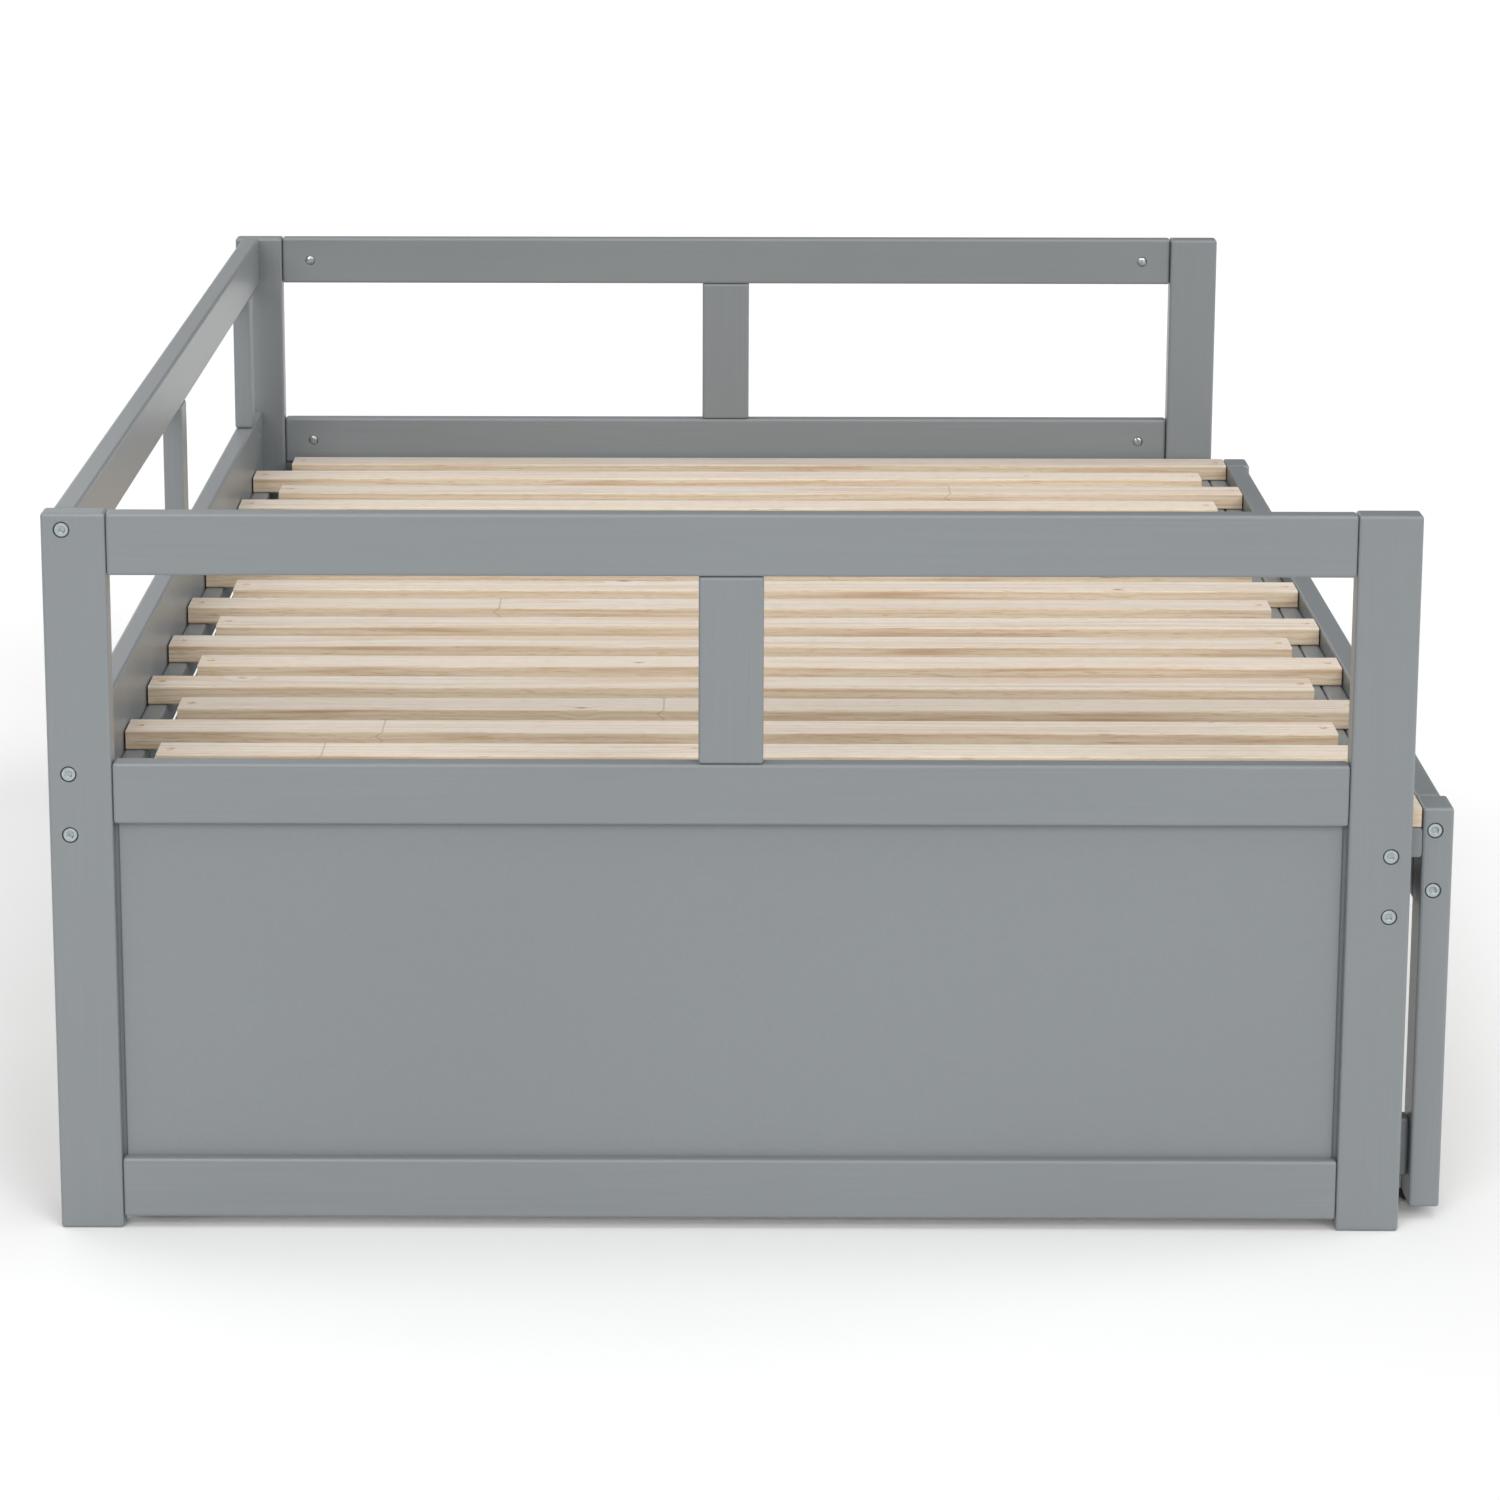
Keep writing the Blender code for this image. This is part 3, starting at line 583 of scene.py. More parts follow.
def repeat_tree(name, sizes, one_piece, finish):
    """A tree that sets one piece, aimed outwards and given a chance turn, on each point of a mesh."""
    tree = bpy.data.node_groups.new(name, "GeometryNodeTree")
    tree_input(tree, "Places", "NodeSocketGeometry")
    for label, value in sizes.items():
        tree_input(tree, label, "NodeSocketInt" if isinstance(value, int) else "NodeSocketFloat", value)
    tree.interface.new_socket("Pieces", in_out="OUTPUT", socket_type="NodeSocketGeometry")
    given = add_node(tree, "NodeGroupInput").outputs
    piece = one_piece(tree, given)
    outward = add_node(tree, "GeometryNodeInputNamedAttribute", {"Name": "outward"}, data_type="FLOAT_VECTOR")
    outward = {"Vector": outward.outputs["Attribute"]}
    aim = add_node(tree, "FunctionNodeAlignRotationToVector", outward, axis="Z").outputs[0]
    chance = {2: 0.0, 3: math.tau, "Seed": given["Seed"]}
    chance = add_node(tree, "FunctionNodeRandomValue", chance, data_type="FLOAT").outputs[1]
    turn = add_node(tree, "ShaderNodeCombineXYZ", {"Z": chance}).outputs[0]
    turn = add_node(tree, "FunctionNodeEulerToRotation", {0: turn}).outputs[0]
    turn = {"Rotation": aim, "Rotate By": turn}
    aim = add_node(tree, "FunctionNodeRotateRotation", turn, rotation_space="LOCAL").outputs[0]
    placed = {"Points": given["Places"], "Instance": piece, "Rotation": aim}
    placed = add_node(tree, "GeometryNodeInstanceOnPoints", placed).outputs[0]
    real = add_node(tree, "GeometryNodeRealizeInstances", {0: placed}).outputs[0]
    painted = add_node(tree, "GeometryNodeSetMaterial", {"Geometry": real, "Material": finish}).outputs[0]
    add_node(tree, "NodeGroupOutput", {0: painted})
    return tree


def finished_piece(mesh, smooth_angle, body):
    """Shades a mesh smooth up to this angle and makes it a piece that moves with this body."""
    mesh.shade_smooth()
    mesh.set_sharp_from_angle(angle=smooth_angle)
    piece = bpy.data.objects.new(mesh.name, mesh)
    bpy.context.scene.collection.objects.link(piece)
    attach(piece, body)
    return piece


def repeated(name, tree, sizes, places, body, smooth_angle=smooth_up_to):
    """Runs a tree on (place, outward) pairs and keeps the result as one plain mesh on this body."""
    points = bpy.data.meshes.new(f"{name}_places")
    points.from_pydata([place for place, outward in places], [], [])
    aims = points.attributes.new("outward", "FLOAT_VECTOR", "POINT")
    aims.data.foreach_set("vector", [value for place, outward in places for value in outward])
    carrier = bpy.data.objects.new(f"{name}_places", points)
    bpy.context.scene.collection.objects.link(carrier)
    modifier = carrier.modifiers.new(name, "NODES")
    modifier.node_group = tree
    for item in tree.interface.items_tree:
        if item.in_out == "INPUT" and item.name in sizes:
            modifier[item.identifier] = sizes[item.name]
    graph = bpy.context.evaluated_depsgraph_get()
    mesh = bpy.data.meshes.new_from_object(carrier.evaluated_get(graph), depsgraph=graph)
    bpy.data.objects.remove(carrier)
    mesh.name = name
    finished_piece(mesh, smooth_angle, body)


def drawn_face(tree, mesh, face, rise, share):
    """Draws a face out by this rise, or in where it is negative, and scales it to this share of its size."""
    drawn = {"Mesh": mesh, "Selection": face, "Offset Scale": rise}
    drawn = add_node(tree, "GeometryNodeExtrudeMesh", drawn, mode="FACES").outputs
    scaled = {"Geometry": drawn["Mesh"], "Selection": drawn["Top"], "Scale": share}
    return add_node(tree, "GeometryNodeScaleElements", scaled).outputs[0], drawn["Top"]


def raised_disc(tree, given, radius, tall, reach):
    """A closed disc that stands up from its own origin, its top, its foot and its top's radius.

    Its rim falls by the given edge over this reach, and its whole height is tall.
    """
    straight = add_node(tree, "ShaderNodeMath", {0: tall, 1: given["Edge"]}, operation="SUBTRACT").outputs[0]
    disc = {"Vertices": given["Sides"], "Radius": radius, "Depth": straight}
    disc = add_node(tree, "GeometryNodeMeshCylinder", disc, fill_type="NGON").outputs
    half = add_node(tree, "ShaderNodeMath", {0: straight, 1: 2.0}, operation="DIVIDE").outputs[0]
    lift = add_node(tree, "ShaderNodeCombineXYZ", {"Z": half}).outputs[0]
    low = add_node(tree, "GeometryNodeSetPosition", {"Geometry": disc["Mesh"], "Offset": lift}).outputs[0]
    inner = add_node(tree, "ShaderNodeMath", {0: radius, 1: reach}, operation="SUBTRACT").outputs[0]
    share = add_node(tree, "ShaderNodeMath", {0: inner, 1: radius}, operation="DIVIDE").outputs[0]
    return *drawn_face(tree, low, disc["Top"], given["Edge"], share), disc["Bottom"], inner


def cut_out(tree, mesh, height, *cutters):
    """Cuts shapes out of a piece, with their middles raised to this height."""
    cut = add_node(tree, "GeometryNodeMeshBoolean", {"Mesh 1": mesh}, operation="DIFFERENCE", solver="EXACT")
    lift = add_node(tree, "ShaderNodeCombineXYZ", {"Z": height}).outputs[0]
    for cutter in cutters:
        raised = add_node(tree, "GeometryNodeSetPosition", {"Geometry": cutter, "Offset": lift}).outputs[0]
        tree.links.new(raised, cut.inputs["Mesh 2"])
    return cut.outputs["Mesh"]


def hex_bolt(tree, given):
    """One bolt that stands on the counterbore's floor: a chamfered head, dished round a deep hex socket."""
    head, dish = given["Head Radius"], given["Dish Radius"]
    bolt, top, foot, inner = raised_disc(tree, given, head, given["Head Height"], given["Edge"])
    share = {0: given["Shank Radius"], 1: head}
    share = add_node(tree, "ShaderNodeMath", share, operation="DIVIDE").outputs[0]
    bolt, foot = drawn_face(tree, bolt, foot, 0.0, share)
    bolt = drawn_face(tree, bolt, foot, given["Shank Length"], 1.0)[0]
    share = add_node(tree, "ShaderNodeMath", {0: dish, 1: inner}, operation="DIVIDE").outputs[0]
    bolt, top = drawn_face(tree, bolt, top, 0.0, share)
    share = {0: given["Dish Floor Radius"], 1: dish}
    share = add_node(tree, "ShaderNodeMath", share, operation="DIVIDE").outputs[0]
    drop = {0: 0.0, 1: given["Dish Depth"]}
    drop = add_node(tree, "ShaderNodeMath", drop, operation="SUBTRACT").outputs[0]
    bolt = drawn_face(tree, bolt, top, drop, share)[0]
    socket = {"Vertices": hex_sides, "Radius": given["Socket Corner"], "Depth": given["Socket Cutter"]}
    socket = add_node(tree, "GeometryNodeMeshCylinder", socket).outputs["Mesh"]
    socket = {"Geometry": socket, "Rotation": (0, 0, socket_turn)}
    socket = add_node(tree, "GeometryNodeTransform", socket).outputs[0]
    return cut_out(tree, bolt, given["Head Height"], socket)


def outer_face(name, axis, direction):
    """Where a CAD piece ends on this axis, in this direction."""
    low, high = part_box(name)
    return high[axis] if direction > 0 else low[axis]


def bolt_heights(rail):
    """The two bolts at the end of a tall rail."""
    return [middle_of(rail).z + place * bolt_pitch / 2 for place in (-1, 1)]


def lengthwise_bolts(side, upright, rail, heights, thick=rail_thick):
    """Bolts that pass along Y through an upright into the end of a long rail of this thickness."""
    floor = outer_face(upright, y_axis, side) - side * counterbore_deep
    middle_x = outer_face(rail, x_axis, -1) + thick / 2
    return [((middle_x, floor, height), (0, side, 0)) for height in heights]


def crosswise_bolt(direction, upright, rail):
    """The bolt that passes along X through an upright into the end of a rail."""
    floor = outer_face(upright, x_axis, direction) - direction * counterbore_deep
    middle = middle_of(rail)
    return ((floor, middle.y, middle.z), (direction, 0, 0))


bed_bolts, trundle_bolts = [], []
top_bolt = outer_face("back_top_rail", z_axis, 1) - top_bolt_drop
for side, label in sides:
    back_post, front_post = f"{label}_end_back_post", f"{label}_end_front_post"
    bed_bolts += lengthwise_bolts(side, back_post, "back_top_rail", [top_bolt])
    bed_bolts += lengthwise_bolts(side, back_post, "back_deck_rail", bolt_heights("back_deck_rail"))
    bed_bolts += lengthwise_bolts(side, front_post, "front_rail", bolt_heights("front_rail"))
    for rail in ("top", "mid", "bottom"):
        bed_bolts.append(crosswise_bolt(-1, back_post, f"{label}_end_{rail}_rail"))
        bed_bolts.append(crosswise_bolt(1, front_post, f"{label}_end_{rail}_rail"))
    post, leg = f"trundle_{label}_front_post", f"trundle_{label}_rear_leg"
    stretcher = f"trundle_{label}_stretcher"
    heights = bolt_heights("trundle_front_rail")
    trundle_bolts += lengthwise_bolts(side, post, "trundle_front_rail", heights, trundle_rail_thick)
    trundle_bolts += lengthwise_bolts(side, leg, "trundle_back_rail", bolt_heights("trundle_back_rail"))
    trundle_bolts += [crosswise_bolt(1, post, stretcher), crosswise_bolt(-1, leg, stretcher)]
bolt_sizes = {
    "Sides": bolt_sides,
    "Head Radius": bolt_head_diameter / 2,
    "Head Height": bolt_head_tall,
    "Edge": bolt_edge,
    "Dish Radius": bolt_dish_diameter / 2,
    "Dish Floor Radius": bolt_dish_floor_diameter / 2,
    "Dish Depth": bolt_dish_deep,
    "Socket Corner": bolt_socket_wide / 2 / math.cos(math.pi / hex_sides),
    "Socket Cutter": bolt_socket_deep * 2,
    "Shank Radius": bolt_shank_diameter / 2,
    "Shank Length": bolt_shank_long,
    "Seed": bolt_seed,
}
bolt_tree = repeat_tree("connector_bolt", bolt_sizes, hex_bolt, zinc)
for name, places, body in (("bed", bed_bolts, "daybed"), ("trundle", trundle_bolts, "trundle")):
    repeated(f"{name}_connector_bolts", bolt_tree, bolt_sizes, places, body, bolt_smooth)


# Cross-dowel nuts
# Turned steel barrels in blind holes near the rails' ends, one for each connector bolt, zinc plated like it.
# Only a barrel's flat end shows, with the slot that turns its thread towards the bolt.
nut_diameter = 0.0134
nut_long = 0.0170
nut_sunk = 0.0012
nut_edge = 0.0014
nut_crown = 0.0034
nut_slot_wide = 0.0022
nut_slot_deep = 0.0016
nut_slot_share = 1.5
nut_from_end = 0.0397
nut_sides = 32
nut_seed = 3


def slotted_barrel(tree, given):
    """A barrel that stands on its hole's floor, with a crowned end and a slot across it."""
    barrel = raised_disc(tree, given, given["Radius"], given["Length"], given["Crown"])[0]
    slot = {0: given["Slot Length"], 1: given["Slot Width"], 2: given["Slot Cutter"]}
    slot = add_node(tree, "ShaderNodeCombineXYZ", slot).outputs[0]
    slot = add_node(tree, "GeometryNodeMeshCube", {"Size": slot}).outputs["Mesh"]
    return cut_out(tree, barrel, given["Length"], slot)


def nuts_across(side, rail):
    """The nuts at both ends of an end panel's rail, seen on its inner face."""
    low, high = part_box(rail)
    hole_floor = outer_face(rail, y_axis, -side) + side * (nut_sunk + nut_long)
    height = middle_of(rail).z
    return [((x, hole_floor, height), (0, -side, 0)) for x in (low.x + nut_from_end, high.x - nut_from_end)]


def nuts_along(rail, direction, heights):
    """The nuts near both ends of a long rail, on the face that looks in this direction along X."""
    low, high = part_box(rail)
    hole_floor = outer_face(rail, x_axis, direction) - direction * (nut_sunk + nut_long)
    ends = (low.y + nut_from_end, high.y - nut_from_end)
    return [((hole_floor, y, height), (direction, 0, 0)) for y in ends for height in heights]


bed_nuts = nuts_along("back_top_rail", 1, [top_bolt])
bed_nuts += nuts_along("back_deck_rail", 1, bolt_heights("back_deck_rail"))
bed_nuts += nuts_along("front_rail", -1, bolt_heights("front_rail"))
trundle_nuts = nuts_along("trundle_front_rail", -1, bolt_heights("trundle_front_rail"))
trundle_nuts += nuts_along("trundle_back_rail", -1, bolt_heights("trundle_back_rail"))
for side, label in sides:
    for rail in ("top", "mid", "bottom"):
        bed_nuts += nuts_across(side, f"{label}_end_{rail}_rail")
    trundle_nuts += nuts_across(side, f"trundle_{label}_stretcher")
nut_sizes = {
    "Sides": nut_sides,
    "Radius": nut_diameter / 2,
    "Length": nut_long,
    "Edge": nut_edge,
    "Crown": nut_crown,
    "Slot Length": nut_diameter * nut_slot_share,
    "Slot Width": nut_slot_wide,
    "Slot Cutter": nut_slot_deep * 2,
    "Seed": nut_seed,
}
nut_tree = repeat_tree("cross_dowel_nut", nut_sizes, slotted_barrel, zinc)
repeated("bed_cross_dowel_nuts", nut_tree, nut_sizes, bed_nuts, "daybed")
repeated("trundle_cross_dowel_nuts", nut_tree, nut_sizes, trundle_nuts, "trundle")


# Slat screws
# One countersunk wood screw near each end of every slat, pulled a little below its face. Yellow-passivated
# zinc, so the heads are straw gold with a cross recess.
yellow_bright = "#E2C274"
yellow_dull = "#B4904C"
screw_sides = 20
slat_screw_head = 0.0062
slat_screw_tall = 0.0009
slat_screw_sunk = 0.0011
screw_edge = 0.0003
recess_wide = 0.0010
recess_long = 0.0036
recess_deep = 0.0006
slat_screw_seed = 11


def cross_screw(tree, given):
    """A screw's head that stands on its origin, chamfered, with a cross recess."""
    head = raised_disc(tree, given, given["Head Radius"], given["Head Height"], given["Edge"])[0]
    wide, long = given["Recess Width"], given["Recess Length"]
    arms = []
    for across, along in ((wide, long), (long, wide)):
        arm = {0: across, 1: along, 2: given["Recess Cutter"]}
        arm = add_node(tree, "ShaderNodeCombineXYZ", arm).outputs[0]
        arms.append(add_node(tree, "GeometryNodeMeshCube", {"Size": arm}).outputs["Mesh"])
    return cut_out(tree, head, given["Head Height"], *arms)


def screw_sizes(head, tall, seed):
    """The screw tree's inputs for one kind of screw."""
    return {
        "Sides": screw_sides,
        "Head Radius": head / 2,
        "Head Height": tall,
        "Edge": screw_edge,
        "Recess Width": recess_wide,
        "Recess Length": recess_long,
        "Recess Cutter": recess_deep * 2,
        "Seed": seed,
    }


def slat_screws(kind):
    """Places of the screws in all slats of one kind."""
    places = []
    for name in (name for name in nodes if name.startswith(f"{kind}_slat")):
        low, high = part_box(name)
        foot = high.z - slat_screw_sunk - slat_screw_tall
        ends = (low.x + pit_from_end, high.x - pit_from_end)
        places += [((x, middle_of(name).y, foot), (0, 0, 1)) for x in ends]
    return places


yellow_zinc = plated_steel("yellow_passivated_steel", yellow_bright, yellow_dull)
slat_screw_sizes = screw_sizes(slat_screw_head, slat_screw_tall, slat_screw_seed)
slat_screw_tree = repeat_tree("slat_screw", slat_screw_sizes, cross_screw, yellow_zinc)
for kind, body in (("fixed", "daybed"), ("sliding", "trundle")):
    places = slat_screws(kind)
    repeated(f"{kind}_slat_screws", slat_screw_tree, slat_screw_sizes, places, body)


# Cleat, stop block and caster screws
# The cleats are screwed to the long rails from inside the bed, two screws hold each stop block, and two pan
# heads hold each caster's plate. All are bright zinc.
cleat_screw_head = 0.0070
cleat_screw_proud = 0.0006
cleat_screws_in_row = 8
cleat_screw_from_end = 0.110
cleat_screw_drop = 0.016
block_screw_apart = 0.032
block_from_end = 0.0897
block_middle = 0.021
plate_screw_head = 0.0070
plate_screw_tall = 0.0018
plate_screw_apart = 0.016
plate_screw_drop = 0.012
plate_thick = 0.0025
cleat_screw_seed = 5


def cleat_screws(cleat, direction):
    """A row of screws along the face of a cleat that looks in this direction along X."""
    low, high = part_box(cleat)
    face = outer_face(cleat, x_axis, direction)
    reach = high.y - cleat_screw_from_end
    step = reach * 2 / (cleat_screws_in_row - 1)
    height = high.z - cleat_screw_drop
    spots = [(face, step * number - reach, height) for number in range(cleat_screws_in_row)]
    return [(spot, (direction, 0, 0)) for spot in spots]


def block_screws(side):
    """Two screws in a stop block's outer face."""
    low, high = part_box("front_rail")
    middle_y = side * (high.y - block_from_end)
    height = low.z + block_middle
    return [((high.x, middle_y + place * block_screw_apart / 2, height), (1, 0, 0)) for place in (-1, 1)]


def plate_screws(side, label, row):
    """Two screws above a caster's wheel, on the plate's inner face."""
    low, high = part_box(f"{label}_{row}_caster_bracket")
    face = (high.y if side > 0 else low.y) - side * plate_thick
    middle_x = (low.x + high.x) / 2
    places = (middle_x - plate_screw_apart / 2, middle_x + plate_screw_apart / 2)
    return [((x, face, high.z - plate_screw_drop), (0, -side, 0)) for x in places]


bed_screws = cleat_screws("back_cleat", 1) + cleat_screws("front_cleat", -1)
trundle_screws = cleat_screws("trundle_back_cleat", 1) + cleat_screws("trundle_front_cleat", -1)
caster_screws = []
for side, label in sides:
    bed_screws += block_screws(side)
for side, label, row in corners:
    caster_screws += plate_screws(side, label, row)
cleat_sizes = screw_sizes(cleat_screw_head, cleat_screw_proud, cleat_screw_seed)
screw_tree = repeat_tree("cross_recessed_screw", cleat_sizes, cross_screw, zinc)
repeated("bed_cleat_screws", screw_tree, cleat_sizes, bed_screws, "daybed")
repeated("trundle_cleat_screws", screw_tree, cleat_sizes, trundle_screws, "trundle")
plate_sizes = screw_sizes(plate_screw_head, plate_screw_tall, cleat_screw_seed)
repeated("caster_plate_screws", screw_tree, plate_sizes, caster_screws, "trundle")


# Caster wheels
# Moulded black nylon: a rounded tread, a dished web stiffened by ribs on both sides, and a hub round the
# stub. The mould leaves an even pebble, drawn coarser than a real one so that it shows, and rolling leaves
# faint grey scuffs.
nylon_black = "#19191B"
nylon_scuffed = "#2B2B2D"
nylon_roughness = 0.48
nylon_ior = 1.53
nylon_cloud = 0.006
nylon_cloud_detail = 4
nylon_pebble = 0.0005
nylon_pebble_height = 0.00003
wheel_bore = 0.0086
wheel_hub = 0.0150
wheel_rim_thick = 0.0045
wheel_dish = 0.0040
wheel_edge_round = 0.0020
wheel_edge_steps = 4
wheel_sides = 64
rib_count = 6
rib_wide = 0.0014
rib_below_rim = 0.0008
rib_sunk = 0.0004
rib_seed = 2


def moulded_nylon(name):
    """Black nylon as it leaves the mould, with a fine pebble and faint grey scuffs."""
    finish, tree, shader = new_finish(name, nylon_roughness, ior=nylon_ior)
    place = add_node(tree, "ShaderNodeTexCoord").outputs["Object"]
    cloud = {"Vector": place, "Scale": 1 / nylon_cloud, "Detail": nylon_cloud_detail}
    cloud = add_node(tree, "ShaderNodeTexNoise", cloud).outputs["Fac"]
    tones = {first_colour: linear_colour(nylon_black), second_colour: linear_colour(nylon_scuffed)}
    colour = add_node(tree, "ShaderNodeMix", {"Factor": cloud, **tones}, data_type="RGBA").outputs[mixed]
    tree.links.new(colour, shader.inputs["Base Color"])
    fine = add_node(tree, "ShaderNodeTexNoise", {"Vector": place, "Scale": 1 / nylon_pebble}).outputs["Fac"]
    pebbled = {"Distance": nylon_pebble_height, "Height": fine}
    tree.links.new(add_node(tree, "ShaderNodeBump", pebbled).outputs["Normal"], shader.inputs["Normal"])
    return finish


def wheel_outline(radius, half):
    """Half section of a wheel: hub, web and rim on one face, round the tread, and back on the other face."""
    bore, hub, rim = wheel_bore / 2, wheel_hub / 2, radius - wheel_rim_thick
    web, centre_out, centre_up = half - wheel_dish, radius - wheel_edge_round, half - wheel_edge_round
    upper = [(bore, half), (hub, half), (hub, web), (rim, web), (rim, half)]
    for step in range(wheel_edge_steps + 1):
        turned = math.pi / 2 * step / wheel_edge_steps
        out, up = math.sin(turned) * wheel_edge_round, math.cos(turned) * wheel_edge_round
        upper.append((centre_out + out, centre_up + up))
    return [*upper, *[(out, -up) for out, up in reversed(upper)]]


def turned_wheel(node, radius, half, finish, body):
    """A finely turned wheel in the place of this CAD wheel."""
    outline = wheel_outline(radius, half)
    count, middle = len(outline), middle_of(node)
    points, faces = [], []
    for step in range(wheel_sides):
        angle = math.tau * step / wheel_sides
        points += [middle + Vector((out * math.cos(angle), up, out * math.sin(angle))) for out, up in outline]
        ring, next_ring = step * count, (step + 1) % wheel_sides * count
        for first in range(count):
            second = (first + 1) % count
            faces.append((ring + second, ring + first, next_ring + first, next_ring + second))
    mesh = bpy.data.meshes.new(f"{node}_moulding")
    mesh.from_pydata(points, [], faces)
    mesh.materials.append(finish)
    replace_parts(finished_piece(mesh, smooth_up_to, body), node)


def rib_ring(tree, given):
    """Ribs that stand on their origin's plane and reach out from the hub to the rim."""
    size = {0: given["Length"], 1: given["Width"], 2: given["Height"]}
    size = add_node(tree, "ShaderNodeCombineXYZ", size).outputs[0]
    rib = add_node(tree, "GeometryNodeMeshCube", {"Size": size}).outputs["Mesh"]
    half = add_node(tree, "ShaderNodeMath", {0: given["Height"], 1: 2.0}, operation="DIVIDE").outputs[0]
    offset = add_node(tree, "ShaderNodeCombineXYZ", {0: given["Middle"], 2: half}).outputs[0]
    rib = add_node(tree, "GeometryNodeSetPosition", {"Geometry": rib, "Offset": offset}).outputs[0]
    points = add_node(tree, "GeometryNodePoints", {"Count": given["Ribs"], "Radius": 0.0}).outputs[0]
    number = add_node(tree, "GeometryNodeInputIndex").outputs[0]
    step = add_node(tree, "ShaderNodeMath", {0: math.tau, 1: given["Ribs"]}, operation="DIVIDE").outputs[0]
    turn = add_node(tree, "ShaderNodeMath", {0: number, 1: step}, operation="MULTIPLY").outputs[0]
    turn = add_node(tree, "ShaderNodeCombineXYZ", {"Z": turn}).outputs[0]
    turn = add_node(tree, "FunctionNodeEulerToRotation", {0: turn}).outputs[0]
    ring = {"Points": points, "Instance": rib, "Rotation": turn}
    ring = add_node(tree, "GeometryNodeInstanceOnPoints", ring).outputs[0]
    return add_node(tree, "GeometryNodeRealizeInstances", {0: ring}).outputs[0]


nylon = moulded_nylon("moulded_black_nylon")
wheel_low, wheel_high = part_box("left_front_wheel")
wheel_radius, wheel_half = (wheel_high.z - wheel_low.z) / 2, (wheel_high.y - wheel_low.y) / 2
rib_start = wheel_hub / 2 - rib_sunk
rib_end = wheel_radius - wheel_rim_thick + rib_sunk
rib_foot = wheel_half - wheel_dish - rib_sunk
rib_sizes = {
    "Ribs": rib_count,
    "Length": rib_end - rib_start,
    "Middle": (rib_start + rib_end) / 2,
    "Width": rib_wide,
    "Height": wheel_dish - rib_below_rim + rib_sunk,
    "Seed": rib_seed,
}
rib_tree = repeat_tree("wheel_rib_ring", rib_sizes, rib_ring, nylon)
for side, label, row in corners:
    wheel, body = f"{label}_{row}_wheel", f"{label}_{row}_caster_wheel"
    turned_wheel(wheel, wheel_radius, wheel_half, nylon, body)
    faces = [(middle_of(wheel) + Vector((0, way * rib_foot, 0)), (0, way, 0)) for way in (-1, 1)]
    repeated(f"{wheel}_ribs", rib_tree, rib_sizes, faces, body)


# Floor
# A plain pale floor, large enough to fill the view from every side. It belongs to the studio and not to the
# bed.
floor_reach = 60.0
floor_white = "#EAEAEA"
floor_roughness = 0.9

floor_mesh = bpy.data.meshes.new("floor")
floor_corners = [(x * floor_reach, y * floor_reach, 0) for x, y in ((-1, -1), (1, -1), (1, 1), (-1, 1))]
floor_mesh.from_pydata(floor_corners, [], [(0, 1, 2, 3)])
floor_finish, *_, floor_shader = new_finish("pale_floor", floor_roughness)
floor_shader.inputs["Base Color"].default_value = linear_colour(floor_white)
floor_mesh.materials.append(floor_finish)
floor = bpy.data.objects.new("floor", floor_mesh)
bpy.context.scene.collection.objects.link(floor)


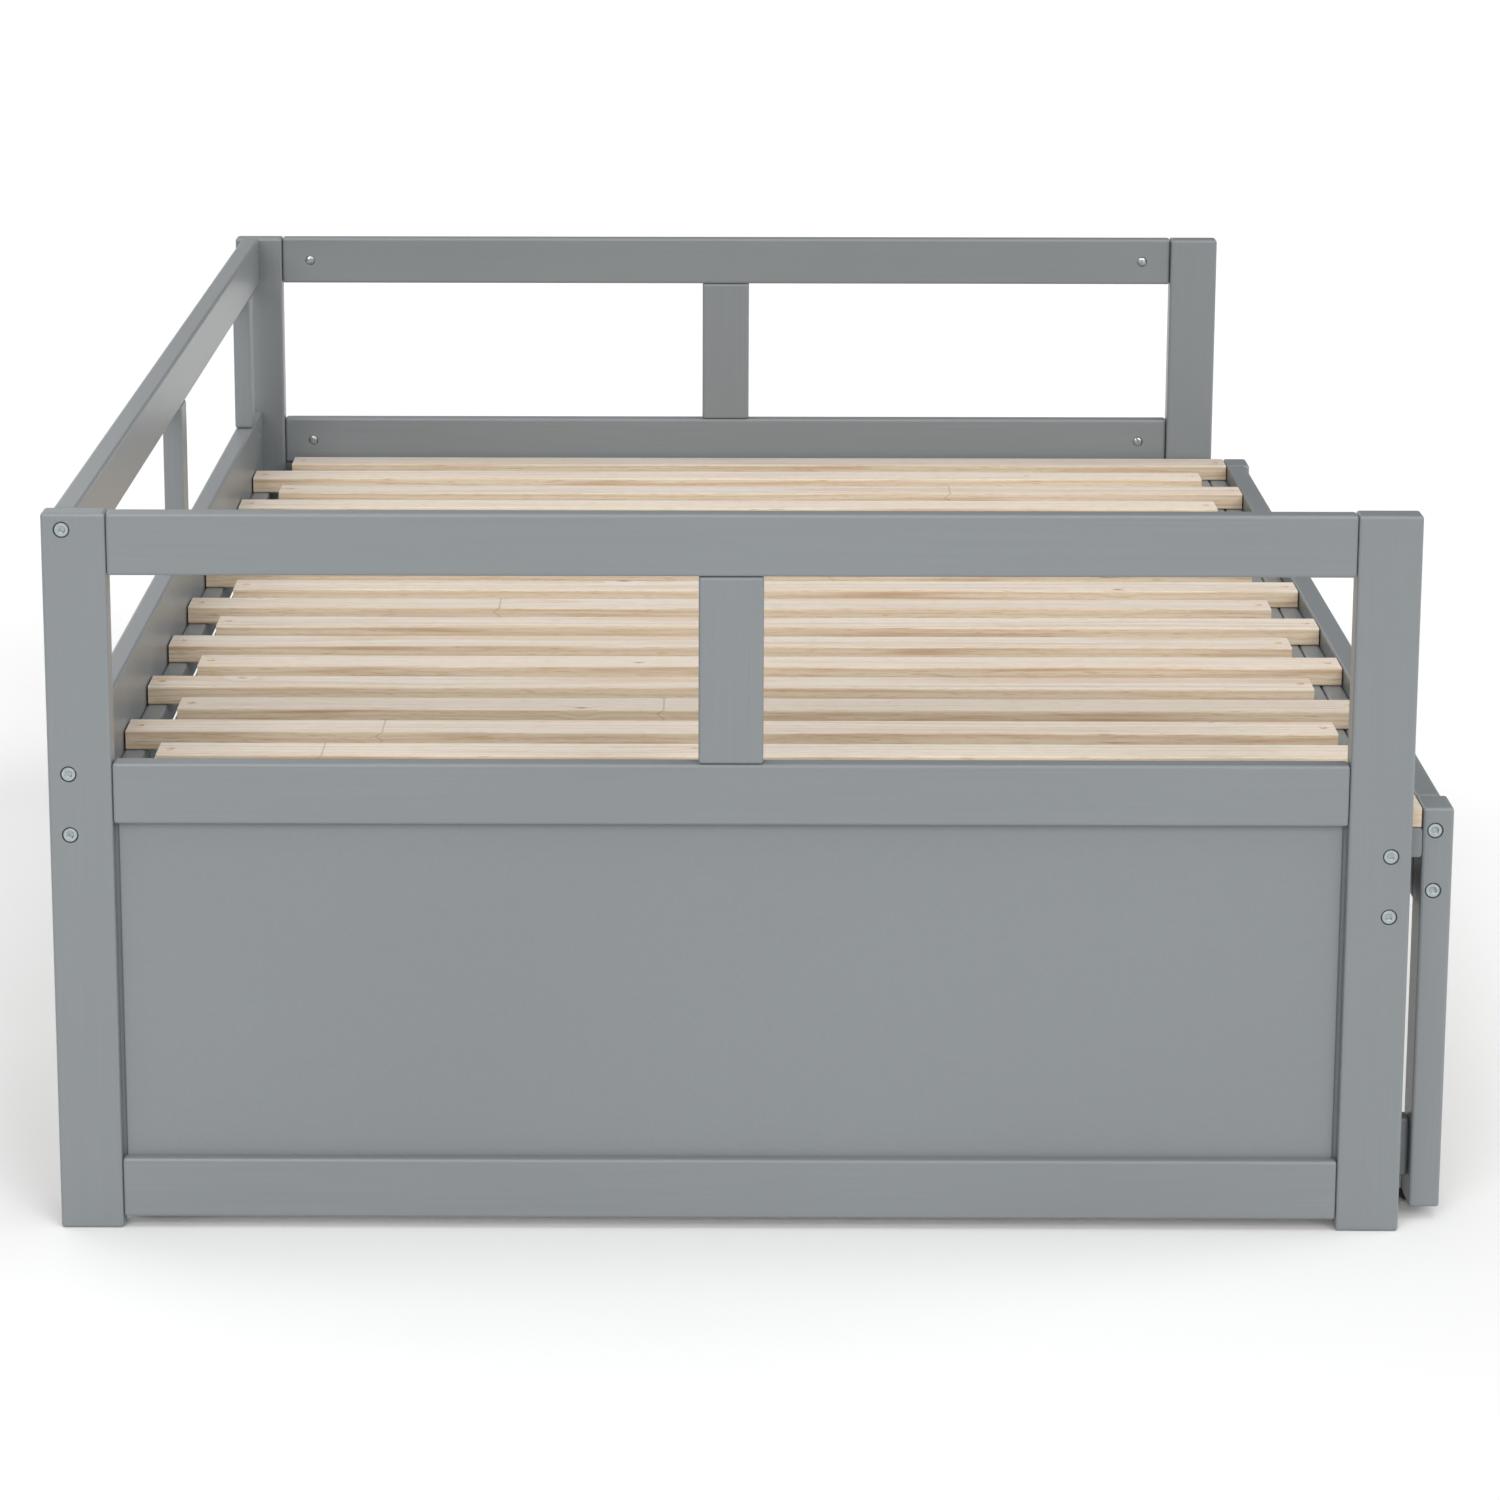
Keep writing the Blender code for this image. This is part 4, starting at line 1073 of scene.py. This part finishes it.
# Light
# Two wide soft lamps to the left and right of the camera, weaker and softer ones before the bed's open front
# and behind its back, a broad soft ceiling, and a white surround. They stand far off, so the light is the
# same over the whole bed. Only the view itself sees the surround white.
surround_strength = 0.10
backdrop_strength = 1.0
lamps = {
    "left": {"towards": (-0.36, -1.00, 0.54), "strength": 1.35, "degrees_wide": 34},
    "right": {"towards": (0.60, -1.00, 0.60), "strength": 1.45, "degrees_wide": 34},
    "front": {"towards": (1.00, 0.20, 0.45), "strength": 1.20, "degrees_wide": 50},
    "back": {"towards": (-0.75, 1.00, 0.60), "strength": 0.95, "degrees_wide": 60},
    "ceiling": {"towards": (0.00, -0.06, 1.00), "strength": 1.60, "degrees_wide": 60},
}


def lamp(name, towards, strength, degrees_wide):
    """A far soft lamp. towards points at it from the bed, and degrees_wide is how wide it looks there."""
    data = bpy.data.lights.new(name, "SUN")
    data.energy = strength
    data.angle = math.radians(degrees_wide)
    made = bpy.data.objects.new(name, data)
    made.rotation_euler = Vector(towards).to_track_quat("Z", "Y").to_euler()
    bpy.context.scene.collection.objects.link(made)


for name, settings in lamps.items():
    lamp(f"{name}_lamp", **settings)
world = bpy.data.worlds.new("studio")
world.use_nodes = True
backdrop = world.node_tree.nodes["Background"]
seen = add_node(world.node_tree, "ShaderNodeLightPath").outputs["Is Camera Ray"]
strength = {"Value": seen, "To Min": surround_strength, "To Max": backdrop_strength}
strength = add_node(world.node_tree, "ShaderNodeMapRange", strength).outputs[0]
world.node_tree.links.new(strength, backdrop.inputs["Strength"])
backdrop.inputs["Color"].default_value = (1, 1, 1, 1)
bpy.context.scene.world = world
bpy.context.scene.view_settings.view_transform = "Standard"


# Camera
# It stands off the left end, above the bed, and looks down along it through a long lens. The frame is shifted
# a little, so that the camera tips down less, and the end panel's rails stay level and its posts nearly
# upright.
camera_place = (-0.04565, -5.63117, 1.68119)
camera_yaw = -0.00449
camera_pitch = 0.23131
camera_roll = -0.00125
camera_lens = 112.64
sensor_wide = 36.0
frame_shift = (0.0405, -0.05)

camera_data = bpy.data.cameras.new("camera")
camera_data.lens = camera_lens
camera_data.sensor_width = sensor_wide
camera_data.shift_x, camera_data.shift_y = frame_shift
camera_data.clip_end = floor_reach * 2
camera = bpy.data.objects.new("camera", camera_data)
turn = Matrix.Rotation(-camera_yaw, 4, "Z") @ Matrix.Rotation(math.pi / 2 - camera_pitch, 4, "X")
camera.matrix_world = Matrix.Translation(camera_place) @ turn @ Matrix.Rotation(-camera_roll, 4, "Z")
bpy.context.scene.collection.objects.link(camera)
bpy.context.scene.camera = camera
